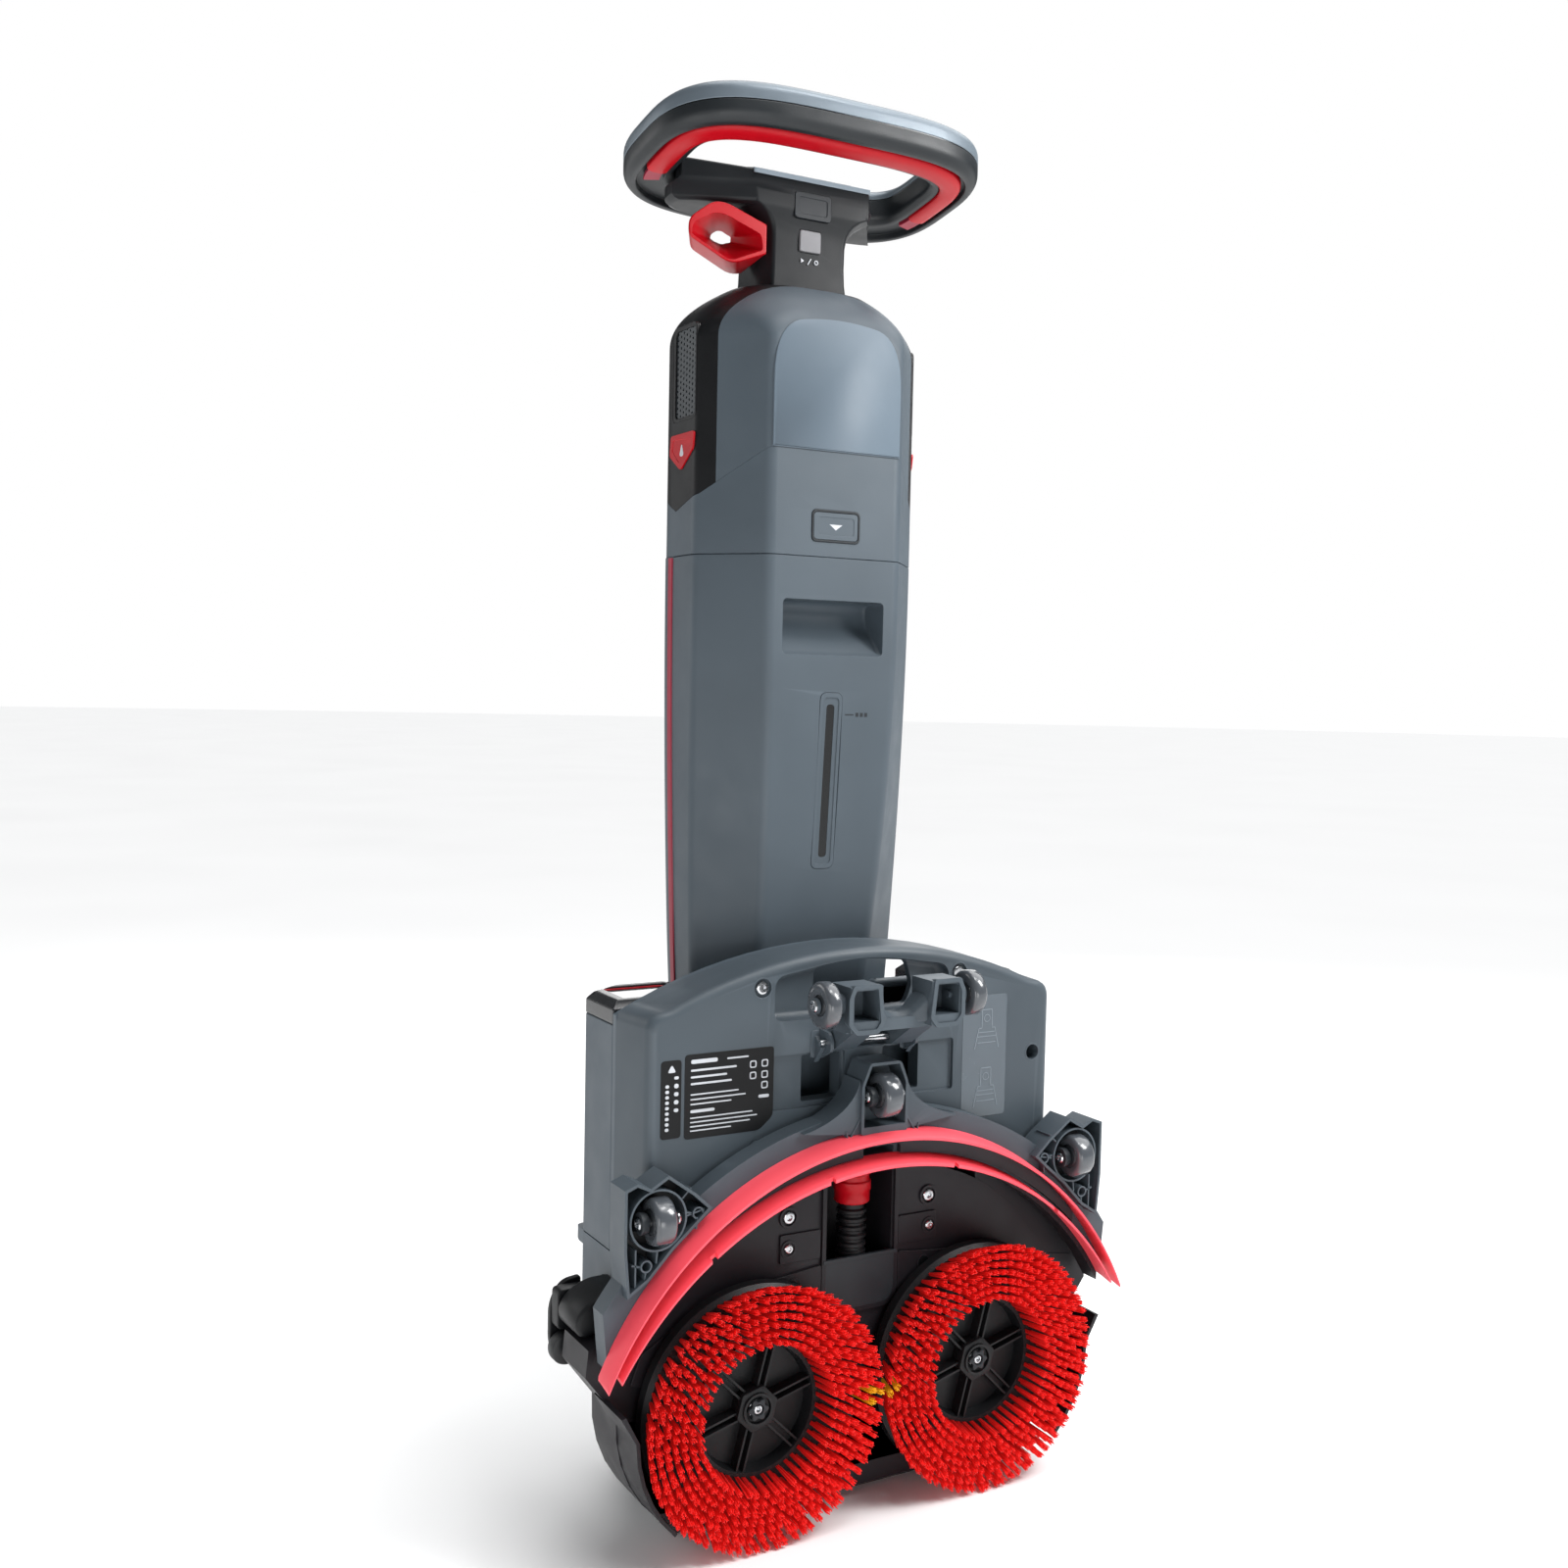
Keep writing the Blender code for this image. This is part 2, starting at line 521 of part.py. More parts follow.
def make_water_tank():
    pivot = (0, TANK_HINGE_Y, TANK_HINGE_Z)
    top = SEAM_Z - GAP
    tank = column_solid("clean_water_tank", heights(TANK_BOTTOM, top, 8), GREY, 0.0, pivot)
    cut(tank, block("tank_back_half", (-150, SPLIT_Y - GAP / 2, 200), (150, 300, 800), None))
    hollow = column_solid("tank_hollow", heights(TANK_BOTTOM + WALL, top + 20, 8), None, WALL)
    cut(hollow, block("tank_back_wall", (-150, SPLIT_Y - WALL, 200), (150, 300, 800), None))
    grip_liner = [(90, 712), (90, 660), (110, 660), (138, 688), (138, 712)]
    cut(hollow, prism("grip_liner", grip_liner, "x", -50, 50, None))
    cut(tank, hollow)
    grip = [(90, 709), (90, 661), (103.5, 664.5), (132, 692), (132, 709)]
    cut(tank, prism("grip_recess", grip, "x", -47, 47, None))
    low, high, half = 492.5, 635.5, 10.5
    def strip(z, edge, proud, deep):
        front = column_section(z)[0][1]
        return [Vector(p) for p in ((-edge, front - proud, z), (edge, front - proud, z),
                                    (edge, front + deep, z), (-edge, front + deep, z))]
    pocket = [strip(z, half + GAP, 5, 2.0) for z in heights(low - GAP, high + GAP, 5)]
    cut(tank, loft("level_pocket", pocket, None))
    window = [strip(z, half, 0.6, 2.0 - GAP) for z in heights(low, high, 5)]
    loft("level_window", window, CLEAR, pivot)
    plate = [(x, min(y, SPLIT_Y - WALL - GAP)) for x, y in column_section(top, WALL + GAP)]
    plate = [p for i, p in enumerate(plate) if p not in plate[:i]]
    lid = prism("tank_top_plate", plate[:3] + plate[-3:], "z", top - 5, top, DARK, pivot)
    fuse(lid, rod("filler_cap", "z", 0, 150, 16, top - 12, top - 2, None))


def make_back_shell():
    top = SEAM_Z - GAP
    shell = column_solid("column_back_shell", heights(SHELL_BOTTOM, top, 8), GREY)
    hollow = column_solid("shell_hollow", heights(SHELL_BOTTOM + WALL, top + 20, 8), None, WALL)
    cut(shell, hollow, block("shell_front_half", (-150, 50, 200), (150, SPLIT_Y + GAP / 2, 800), None))
    turned("spine_tube", [(9, 272), (12, 272), (12, 860), (9, 860)], "z", (0, 212, 0), ALU, steps=16)
    yoke = block("tilt_yoke", (-60, 176, 250), (60, 210, SHELL_BOTTOM - GAP), DARK, (0, PIVOT_Y, PIVOT_Z))
    fuse(yoke, rod("yoke_barrel", "x", PIVOT_Y, PIVOT_Z, 14, -60, 60, None))
    cut(yoke, rod("yoke_bore", "x", PIVOT_Y, PIVOT_Z, 7.3, -70, 70, None))
    for side in (-1, 1):
        tag = "left" if side < 0 else "right"
        def strip(z):
            x = side * (column_section(z)[2][0] * -1 + GAP)
            out = x + side * 1.4
            return [Vector(p) for p in ((x, 186.5, z), (x, 194, z), (out, 193, z), (out, 187.5, z))]
        loft(f"{tag}_red_stripe", [strip(z) for z in heights(300, top - 1, 8)], RED)


def collar_edge(shift):
    """The collar's top edge seen from the side: level in front, dropping in a V along the side."""
    line = [(50, FRONT_SEAM_Z), (104, FRONT_SEAM_Z), (147, 790.7), (183, 779), (207, 791), (300, 800)]
    return [(y, z + shift) for y, z in line]


def make_head():
    span = [SEAM_Z, 800, 860, CROWN_START, 925, 936, 946, 954, HEAD_TOP]
    inner_span = [SEAM_Z - 20, 800, 860, CROWN_START, 925, 936, 946, 954]
    collar = column_solid("column_collar", span, GREY)
    upper = column_solid("head_cover", span, GREY)
    back = column_solid("head_back_shell", span, BLACK)
    hollow = column_solid("head_hollow", inner_span, None, WALL)
    above = prism("above_collar", collar_edge(-GAP / 2) + [(300, 1100), (50, 1100)], "x", -150, 150, None)
    below = prism("below_head", collar_edge(GAP / 2) + [(300, 600), (50, 600)], "x", -150, 150, None)
    rear = block("head_rear_half", (-150, COVER_SPLIT_Y - GAP / 2, 700), (150, 300, 1000), None)
    front = block("head_front_half", (-150, 50, 700), (150, COVER_SPLIT_Y + GAP / 2, 1000), None)
    cut(collar, above, hollow, block("release_pocket", (-21.7, 90, 755.7), (21.7, 118, 779.3), None))
    cut(upper, below, hollow, rear)
    cut(back, below, hollow, front)
    pivot = (0, 103.5, 767.5)
    block("release_button", (-21.4, 102.6, 756), (21.4, 110, 779), DARK, pivot)
    for side in (-1, 1):
        tag = "left" if side < 0 else "right"
        x0, x1 = sorted((side * 101.8, side * 110))
        low, high = (x0, 148 - GAP, 854 - GAP), (x1, 185 + GAP, 922 + GAP)
        cut(back, block(f"{tag}_grille_pocket", low, high, None))
        x0, x1 = sorted((side * 102.0, side * 103.6))
        block(f"{tag}_speaker_grille", (x0, 148, 854), (x1, 185, 922), DARK)
        badge = [(150, 840), (192, 840), (194, 824), (174, 811), (152, 826)]
        prism(f"{tag}_side_badge", badge, "x", side * (103 + GAP), side * 104.6, RED)


# ---------------------------------------------------------------- handle

def neck_ring(z, front_half, back_half, front, back):
    left = [(-front_half + 6, front), (-front_half, front + 7),
            (-back_half, back - 8), (-back_half + 8, back)]
    outline = left + [(-x, y) for x, y in reversed(left)]
    return [Vector((x, y, z)) for x, y in outline]


def loop_point(angle, out=0.0, up=0.0):
    """A point on the handle's loop, offset in its plane (out) and square to it (up)."""
    half_x = LOOP_HALF - BAR_A
    half_y = (LOOP_BACK - LOOP_FRONT) / 2 - BAR_A
    middle = (LOOP_BACK + LOOP_FRONT) / 2
    def base(a):
        c, s = cos(a), sin(a)
        x = half_x * abs(c) ** (2 / LOOP_POWER) * (1 if c >= 0 else -1)
        y = half_y * abs(s) ** (2 / LOOP_POWER) * (1 if s >= 0 else -1)
        return Vector((x, y, 0))
    here = base(angle)
    step = base(angle + 0.02) - base(angle - 0.02)
    normal = Vector((step.y, -step.x, 0)).normalized()
    flat = here + normal * out
    z = LOOP_Z + LOOP_SLOPE * flat.y + up
    return Vector((flat.x, middle + flat.y, z))


def loop_angles(start, end, steps):
    """Angles that pack more stations into the loop's corners."""
    angles = []
    for i in range(steps + 1):
        t = start + (end - start) * i / steps
        angles.append(t + 0.16 * sin(4 * t))
    return angles


def make_handle():
    core = [(10.3, -BAR_B), (14, -16), (BAR_A, -9), (BAR_A, -6), (-BAR_A, 5), (-BAR_A, -11.5), (10.3, -11.5)]
    top = [(-BAR_A, 5.3), (BAR_A, -5.7), (BAR_A, 10), (13, 16), (6, BAR_B), (-6, BAR_B), (-13, 16),
           (-BAR_A, 10)]
    angles = loop_angles(0, 2 * pi, 56)[:-1]
    for name, section, spec in (("handle_core", core, BLACK), ("handle_cover", top, GREY)):
        loft(name, [[loop_point(a, n, u) for n, u in section] for a in angles], spec, closed=True)
    strip = [(-BAR_A, -11.8), (6.8, -11.8), (6.8, -15.5), (3, -18), (-14, -18), (-BAR_A, -14.5)]
    angles = loop_angles(pi * 0.97, pi * 2.03, 30)
    loft("trigger_bar", [[loop_point(a, n, u) for n, u in strip] for a in angles], RED)


def make_neck():
    rings = [neck_ring(HEAD_TOP + GAP, 40, 44, 150, 210), neck_ring(972, 34, 42, 154, 206),
             neck_ring(1000, 33, 42, 154, 206), neck_ring(1016, 38, 46, 151, 206),
             neck_ring(1036, 54, 60, 149, 208)]
    neck = loft("handle_neck", rings, BLACK)
    inside = [(x, y) for x, y, _ in (loop_point(a, -BAR_A - 1.0) for a in loop_angles(-0.1, pi + 0.1, 24))]
    back_edge = [(x, y) for x, y in inside if y > 172]
    outline = [(-54, 149), (54, 149), (104.5, 170)] + back_edge + [(-104.5, 170)]
    def top_of(y):
        return 1051 + 0.28 * (y - 149)
    bottom = [Vector((x, y, 1030)) for x, y in outline]
    upper = [Vector((x, y, top_of(y))) for x, y in outline]
    fuse(neck, loft("control_panel", [bottom, upper], None))
    screen = rectangle(-46, 46, 160, 200)
    rings = [[Vector((x, y, top_of(y) + lift)) for x, y in screen] for lift in (GAP, 2.2)]
    loft("display_screen", rings, GLOSS)
    for name, half, low, high, front, spec in (("power_button", 17, 1019, 1039.5, 149, DARK),
                                               ("mode_button", 10, 993.5, 1011, 152.5, SILVER)):
        corner, opposite = (-half - GAP, 120, low - GAP), (half + GAP, 161, high + GAP)
        cut(neck, block(f"{name}_pocket", corner, opposite, None))
        block(name, (-half, front - 0.5, low), (half, 158, high), spec, (0, front, (low + high) / 2))
    hook_outer = [(-112, 992), (-112, 1003), (-91, 1020), (-80, 1021), (-42, 1009), (-42, 988), (-72, 974)]
    hook_inner = [(-102, 997), (-102, 1000), (-89, 1009), (-81, 1009.5), (-54, 1001),
                  (-54, 993.5), (-74, 984)]
    hook = prism("hanging_hook", hook_outer, "y", 150, 184, RED)
    cut(hook, prism("hook_opening", hook_inner, "y", 140, 194, None))


def hang_column():
    """Hangs what tilts with the column on an empty that sits on the tilt axis."""
    axis = bpy.data.objects.new("column_axis", None)
    axis.parent = bpy.data.objects["machine"]
    axis.location = (0, PIVOT_Y * MM, PIVOT_Z * MM)
    bpy.context.scene.collection.objects.link(axis)
    for name in COLUMN_PIECES:
        obj = bpy.data.objects[name]
        obj.location -= axis.location
        obj.parent = axis


def build():
    clear_scene()
    machine = bpy.data.objects.new("machine", None)
    machine.location = (0, -ORIGIN_Y * MM, 0)
    bpy.context.scene.collection.objects.link(machine)
    make_base_cover()
    make_chassis()
    make_side_boxes()
    make_base_internals()
    make_deck()
    make_deck_cover()
    make_squeegee()
    make_transport_wheels()
    make_water_tank()
    make_back_shell()
    make_head()
    make_handle()
    make_neck()
    for side in (-1, 1):
        make_brush(side)
        make_bumper(side)
    hang_column()


build()
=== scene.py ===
"""Looks for the walk-behind floor scrubber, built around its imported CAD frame.

Pieces are drawn in millimetres in the machine's own axes, as the CAD part is: y = 0 is the plane of
the brush tips, z = 0 the deck's front edge. They are set down in the row frame, in metres, at the end.
"""

import random
from math import cos, exp, pi, radians, sin, sqrt

import bmesh
import bpy
from mathutils import Matrix, Vector


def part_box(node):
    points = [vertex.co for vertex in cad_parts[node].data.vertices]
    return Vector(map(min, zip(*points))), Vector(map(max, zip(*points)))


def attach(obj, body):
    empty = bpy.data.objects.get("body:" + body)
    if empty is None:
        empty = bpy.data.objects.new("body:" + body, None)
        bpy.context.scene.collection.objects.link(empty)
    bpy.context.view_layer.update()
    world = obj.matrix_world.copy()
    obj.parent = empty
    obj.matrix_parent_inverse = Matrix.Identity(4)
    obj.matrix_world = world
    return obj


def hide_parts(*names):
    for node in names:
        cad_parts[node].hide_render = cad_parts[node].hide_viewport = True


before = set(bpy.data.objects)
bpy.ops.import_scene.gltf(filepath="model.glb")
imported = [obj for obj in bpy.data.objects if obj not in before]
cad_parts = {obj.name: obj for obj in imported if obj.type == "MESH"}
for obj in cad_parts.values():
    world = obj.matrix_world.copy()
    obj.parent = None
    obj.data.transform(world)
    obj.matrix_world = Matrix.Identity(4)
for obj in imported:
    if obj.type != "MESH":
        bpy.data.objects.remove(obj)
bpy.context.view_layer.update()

MM = 0.001
DATUM_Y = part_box("front_blade")[0].y        # the blades wipe in the plane of the brush tips
GAP = 0.3
TO_ROW = Matrix.Translation((0, DATUM_Y, 0)) @ Matrix.Scale(MM, 4)


def in_mm(point):
    """A point of the row frame in the machine's millimetres."""
    return Vector((point.x / MM, (point.y - DATUM_Y) / MM, point.z / MM))


def box_mm(node):
    low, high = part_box(node)
    return in_mm(low), in_mm(high)


# ---------------------------------------------------------------- materials

def linear(*srgb):
    return tuple(((c / 255 + 0.055) / 1.055) ** 2.4 if c > 10 else c / 255 / 12.92 for c in srgb)


def noise(tree, coords, scale, detail=2.0):
    node = tree.nodes.new("ShaderNodeTexNoise")
    node.inputs["Scale"].default_value = scale
    node.inputs["Detail"].default_value = detail
    tree.links.new(coords, node.inputs["Vector"])
    return node.outputs["Fac"]


def remap(tree, value, low, high, start=0.3, end=0.7):
    node = tree.nodes.new("ShaderNodeMapRange")
    node.inputs["From Min"].default_value = start
    node.inputs["From Max"].default_value = end
    node.inputs["To Min"].default_value = low
    node.inputs["To Max"].default_value = high
    tree.links.new(value, node.inputs["Value"])
    return node.outputs["Result"]


def blend_colours(tree, factor, first, second):
    node = tree.nodes.new("ShaderNodeMix")
    node.data_type = "RGBA"
    tree.links.new(factor, node.inputs["Factor"])
    for socket, value in (("A", first), ("B", second)):
        target = [s for s in node.inputs if s.name == socket and s.type == "RGBA"][0]
        if isinstance(value, tuple):
            target.default_value = (*value, 1.0)
        else:
            tree.links.new(value, target)
    return [s for s in node.outputs if s.type == "RGBA"][0]


def start_material(name, metallic=0.0, coat=0.0, coat_rough=0.1, specular=0.5):
    made = bpy.data.materials.new(name)
    made.use_nodes = True
    tree = made.node_tree
    shader = tree.nodes["Principled BSDF"]
    shader.inputs["Metallic"].default_value = metallic
    shader.inputs["Coat Weight"].default_value = coat
    shader.inputs["Coat Roughness"].default_value = coat_rough
    shader.inputs["Specular IOR Level"].default_value = specular
    coords = tree.nodes.new("ShaderNodeTexCoord").outputs["Object"]
    return made, tree, shader, coords


def bump(tree, shader, height, strength, distance):
    node = tree.nodes.new("ShaderNodeBump")
    node.inputs["Strength"].default_value = strength
    node.inputs["Distance"].default_value = distance
    tree.links.new(height, node.inputs["Height"])
    tree.links.new(node.outputs["Normal"], shader.inputs["Normal"])


def moulded(name, srgb, rough=0.42, grain=1400.0, depth=0.25, vary=0.07, edge=0.25, **extra):
    """Injection-moulded plastic: spark-eroded grain, faint flow marks, edges rubbed a little lighter."""
    made, tree, shader, coords = start_material(name, **extra)
    base = linear(*srgb)
    dark = tuple(c * (1 - vary) for c in base)
    light = tuple(c * (1 + vary) for c in base)
    flow = remap(tree, noise(tree, coords, 11.0, 3.0), 0.0, 1.0)
    body = blend_colours(tree, flow, dark, light)
    geometry = tree.nodes.new("ShaderNodeNewGeometry")
    worn = remap(tree, geometry.outputs["Pointiness"], 0.0, edge, 0.52, 0.6)
    rubbed = tuple(min(1.0, c * 1.8 + 0.02) for c in base)
    tree.links.new(blend_colours(tree, worn, body, rubbed), shader.inputs["Base Color"])
    patches = noise(tree, coords, 38.0, 4.0)
    tree.links.new(remap(tree, patches, rough - 0.05, rough + 0.06), shader.inputs["Roughness"])
    bump(tree, shader, noise(tree, coords, grain, 1.0), depth, 0.0002)
    return made


def metal(name, srgb, rough=0.25, brushed=(30.0, 30.0, 900.0)):
    """Turned or brushed metal: fine lines stretched along one axis, with soft smudges."""
    made, tree, shader, coords = start_material(name, metallic=1.0)
    stretch = tree.nodes.new("ShaderNodeMapping")
    stretch.inputs["Scale"].default_value = brushed
    tree.links.new(coords, stretch.inputs["Vector"])
    lines = noise(tree, stretch.outputs["Vector"], 1.0, 3.0)
    base = linear(*srgb)
    shade = remap(tree, noise(tree, coords, 60.0, 2.0), 0.0, 1.0)
    dull = tuple(c * 0.8 for c in base)
    tree.links.new(blend_colours(tree, shade, dull, base), shader.inputs["Base Color"])
    tree.links.new(remap(tree, lines, rough - 0.06, rough + 0.1), shader.inputs["Roughness"])
    bump(tree, shader, lines, 0.12, 0.0001)
    return made


def bristle_material(name, root, tip):
    """Nylon filament: darker down at the root, where tufts shade each other, bright at the tip."""
    made, tree, shader, coords = start_material(name, specular=0.45)
    split = tree.nodes.new("ShaderNodeSeparateXYZ")
    tree.links.new(coords, split.inputs["Vector"])
    depth = remap(tree, split.outputs["Y"], 1.0, 0.0, DATUM_Y, DATUM_Y + 20 * MM)
    strand = remap(tree, noise(tree, coords, 330.0, 2.0), 0.0, 1.0)
    low, high = linear(*root), linear(*tip)
    deep = tuple(c * 0.72 for c in high)
    outer = blend_colours(tree, strand, deep, high)
    tree.links.new(blend_colours(tree, depth, low, outer), shader.inputs["Base Color"])
    tree.links.new(remap(tree, strand, 0.34, 0.5, 0.0, 1.0), shader.inputs["Roughness"])
    bump(tree, shader, noise(tree, coords, 2200.0, 1.0), 0.15, 0.0001)
    # Painted light: a faint glow in the tip colour makes the filaments brighter than the lamps alone light
    # them.
    shader.inputs["Emission Color"].default_value = (*high[:3], 1)
    shader.inputs["Emission Strength"].default_value = 0.11
    return made


GREY = moulded("grey_shell", (76, 86, 94), 0.46, specular=0.35)
GREY_DEEP = moulded("grey_base_shell", (70, 79, 86), 0.44, specular=0.35)
# Painted light: a lighter copy of the shell grey, standing for the brighter light on the head's front panel.
PANEL_GREY_PAINTED_LIGHT = moulded("grey_front_panel_painted_light", (98, 111, 122), 0.46, specular=0.3)
GREY_LIGHT = moulded("grey_bezel", (128, 140, 150), 0.4)
HANDLE_GREY = moulded("handle_metallic_grey", (104, 115, 124), 0.4, grain=2200.0, metallic=0.25, coat=0.1)
BLACK = moulded("black_plastic", (20, 21, 23), 0.42, depth=0.35, edge=0.12, specular=0.25)
# Also drawn on the squeegee carrier's inner lip, where it is painted shade.
DECK_BLACK = moulded("deck_black_plastic", (29, 27, 31), 0.4, depth=0.3, edge=0.12, specular=0.25)
DARK = moulded("dark_plastic", (38, 42, 46), 0.45, edge=0.15, specular=0.3)
GRILLE = moulded("grille_plate", (54, 59, 63), 0.4, edge=0.15, specular=0.4)
HANDLE_BLACK = moulded("handle_soft_black", (29, 33, 36), 0.4, grain=900.0, depth=0.4, edge=0.1, specular=0.4)
NECK_BLACK = moulded("neck_black", (21, 24, 27), 0.42, depth=0.2, edge=0.15, specular=0.22)
LID_BLACK = moulded("lid_black", (24, 26, 29), 0.25, depth=0.08, edge=0.12, coat=0.15, coat_rough=0.08)
SCREEN = moulded("screen_glass", (18, 22, 26), 0.08, depth=0.02, edge=0.05, coat=0.6, coat_rough=0.03)
# Near-black for the level window and the handle seam, also used as painted shade behind the grille and vent
# holes and in the deck holes.
SLIT_AND_PAINTED_SHADE = moulded("level_slit", (14, 16, 18), 0.2, depth=0.05, edge=0.05)
RED = moulded("red_plastic", (176, 6, 22), 0.34, depth=0.1, vary=0.05, edge=0.2, specular=0.25)
STRIPE_RED = moulded("red_stripe", (150, 34, 56), 0.38, depth=0.1, edge=0.1, specular=0.3)
BLADE_RED = moulded("blade_rubber", (246, 76, 90), 0.5, grain=700.0, depth=0.2, vary=0.05, edge=0.35)
WHEEL = moulded("wheel_rubber", (74, 78, 83), 0.2, grain=600.0, depth=0.06, edge=0.15, coat=0.5,
                coat_rough=0.08)
TYRE_BLACK = moulded("roller_black_rubber", (26, 28, 30), 0.5, grain=700.0, depth=0.3, edge=0.1)
LABEL = moulded("label_black", (15, 16, 18), 0.4, grain=3000.0, depth=0.05, edge=0.05, specular=0.25)
PRINT = moulded("label_print", (196, 200, 206), 0.5, grain=3000.0, depth=0.05, edge=0.02)
PRINT_DIM = moulded("sticker_print", (124, 134, 142), 0.5, grain=3000.0, depth=0.05, edge=0.02)
STICKER = moulded("sticker_film", (86, 96, 104), 0.22, grain=3000.0, depth=0.04, edge=0.02, coat=0.4)
SILVER = moulded("silver_button", (118, 118, 121), 0.45, grain=2600.0, metallic=0.2, specular=0.3)
BOARD = moulded("circuit_board", (18, 84, 46), 0.4, grain=500.0, depth=0.4)
STEEL = metal("bright_steel", (205, 207, 210), 0.2)
DARK_STEEL = metal("motor_steel", (120, 122, 126), 0.36)
ALU = metal("aluminium_tube", (190, 192, 196), 0.3)
BRISTLE = bristle_material("red_bristle", (150, 6, 8), (255, 38, 34))
YELLOW = bristle_material("yellow_bristle", (150, 90, 4), (250, 190, 30))


SLOTS = {                   # the CAD material slot that each finish belongs to
    "grey_plastic": (GREY, GREY_DEEP, PANEL_GREY_PAINTED_LIGHT, GREY_LIGHT, HANDLE_GREY, STICKER),
    "black_plastic": (BLACK, DECK_BLACK, NECK_BLACK, HANDLE_BLACK, SLIT_AND_PAINTED_SHADE),
    "dark_plastic": (DARK, GRILLE),
    "gloss_black": (LID_BLACK, SCREEN, LABEL),
    "red_plastic": (RED, STRIPE_RED),
    "blade_rubber": (BLADE_RED,),
    "wheel_rubber": (WHEEL, TYRE_BLACK),
    "silver_button": (PRINT, PRINT_DIM, SILVER),
    "steel": (STEEL,),
    "red_bristle": (BRISTLE, YELLOW),
}
SLOT_OF = {material.name: slot for slot, materials in SLOTS.items() for material in materials}


# ---------------------------------------------------------------- meshes

def link_mesh(name, mesh):
    obj = bpy.data.objects.new(name, mesh)
    bpy.context.scene.collection.objects.link(obj)
    return obj


def raw(bm, name="work"):
    bmesh.ops.recalc_face_normals(bm, faces=bm.faces)
    mesh = bpy.data.meshes.new(name)
    bm.to_mesh(mesh)
    bm.free()
    return link_mesh(name, mesh)


def skin(rings, closed=False):
    """Skins rings of equal length; closed joins the last ring to the first."""
    bm = bmesh.new()
    rows = [[bm.verts.new(p) for p in ring] for ring in rings]
    count = len(rows[0])
    pairs = list(zip(rows, rows[1:])) + ([(rows[-1], rows[0])] if closed else [])
    for low, high in pairs:
        for i in range(count):
            j = (i + 1) % count
            bm.faces.new((low[i], low[j], high[j], high[i]))
    if not closed:
        bm.faces.new(rows[0])
        bm.faces.new(rows[-1])
    return raw(bm)


def solid_point(axis, u, v, height):
    """(y, z) for x, (x, z) for y, (x, y) for z."""
    if axis == "x":
        return Vector((height, u, v))
    if axis == "y":
        return Vector((u, height, v))
    return Vector((u, v, height))


def prism(outline, axis, low, high):
    return skin([[solid_point(axis, u, v, h) for u, v in outline] for h in (low, high)])


def block(low, high):
    return prism(rectangle(low[0], high[0], low[1], high[1]), "z", low[2], high[2])


def rod(axis, u, v, radius, low, high, steps=32):
    return prism(circle(u, v, radius, steps), axis, low, high)


def turned(profile, axis, centre, steps=48):
    """A profile of (radius, height) spun about an axis through centre."""
    rings = []
    for i in range(steps):
        angle = 2 * pi * i / steps
        rings.append([Vector(centre) + solid_point(axis, r * cos(angle), r * sin(angle), h)
                      for r, h in profile])
    return skin(rings, closed=True)


def circle(u, v, radius, steps=32):
    return [(u + radius * cos(2 * pi * i / steps), v + radius * sin(2 * pi * i / steps))
            for i in range(steps)]


def rectangle(u0, u1, v0, v1):
    return [(u0, v0), (u1, v0), (u1, v1), (u0, v1)]


def rounded(points, radius, steps=4):
    """The outline with each corner drawn as a curve that starts radius away from it."""
    radii = radius if isinstance(radius, (list, tuple)) else [radius] * len(points)
    line = []
    for i, corner in enumerate(points):
        here = Vector(corner)
        before = Vector(points[i - 1]) - here
        after = Vector(points[(i + 1) % len(points)]) - here
        start = here + before.normalized() * min(radii[i], before.length * 0.45)
        end = here + after.normalized() * min(radii[i], after.length * 0.45)
        for k in range(steps + 1):
            t = k / steps
            line.append(tuple(start * (1 - t) ** 2 + here * (2 * t * (1 - t)) + end * t * t))
    return line


def offset(points, distance):
    """The outline moved inwards by distance, whichever way round it runs."""
    area = sum(points[i - 1][0] * p[1] - p[0] * points[i - 1][1] for i, p in enumerate(points))
    turn = 1 if area > 0 else -1
    moved = []
    for i, corner in enumerate(points):
        here = Vector(corner)
        before = (here - Vector(points[i - 1])).normalized()
        after = (Vector(points[(i + 1) % len(points)]) - here).normalized()
        first = Vector((-before.y, before.x)) * turn
        second = Vector((-after.y, after.x)) * turn
        bisector = (first + second).normalized()
        reach = distance / max(0.3, bisector.dot(first))
        moved.append(tuple(here + bisector * reach))
    return moved


def mirrored(points):
    return [(-u, v) for u, v in reversed(points)]


def arc(centre_z, radius, start_x, end_x, steps=48):
    xs = [start_x + (end_x - start_x) * i / steps for i in range(steps + 1)]
    return [(x, centre_z + sqrt(radius * radius - x * x)) for x in xs]


SIDES = ((-1, "left"), (1, "right"))


def span(side, near, far):
    """The x range between two distances from the middle plane, on one side of it."""
    return sorted((side * near, side * far))


def handed(side, points):
    """An outline drawn for the left, mirrored when it is wanted on the right."""
    return points if side < 0 else mirrored(points)


def ring_at(outline, axis, height):
    return [solid_point(axis, u, v, height) for u, v in outline]


def stepped(outline, axis, steps):
    """One outline stacked along an axis, moved inwards by the inset of each (inset, height) step."""
    return skin([ring_at(offset(outline, inset), axis, height) for inset, height in steps])


def spread(low, high, steps):
    return [low + (high - low) * i / steps for i in range(steps + 1)]


def settle(obj):
    """Applies the object's modifiers to its mesh."""
    graph = bpy.context.evaluated_depsgraph_get()
    done = bpy.data.meshes.new_from_object(obj.evaluated_get(graph))
    old = obj.data
    obj.modifiers.clear()
    obj.data = done
    bpy.data.meshes.remove(old)
    return obj


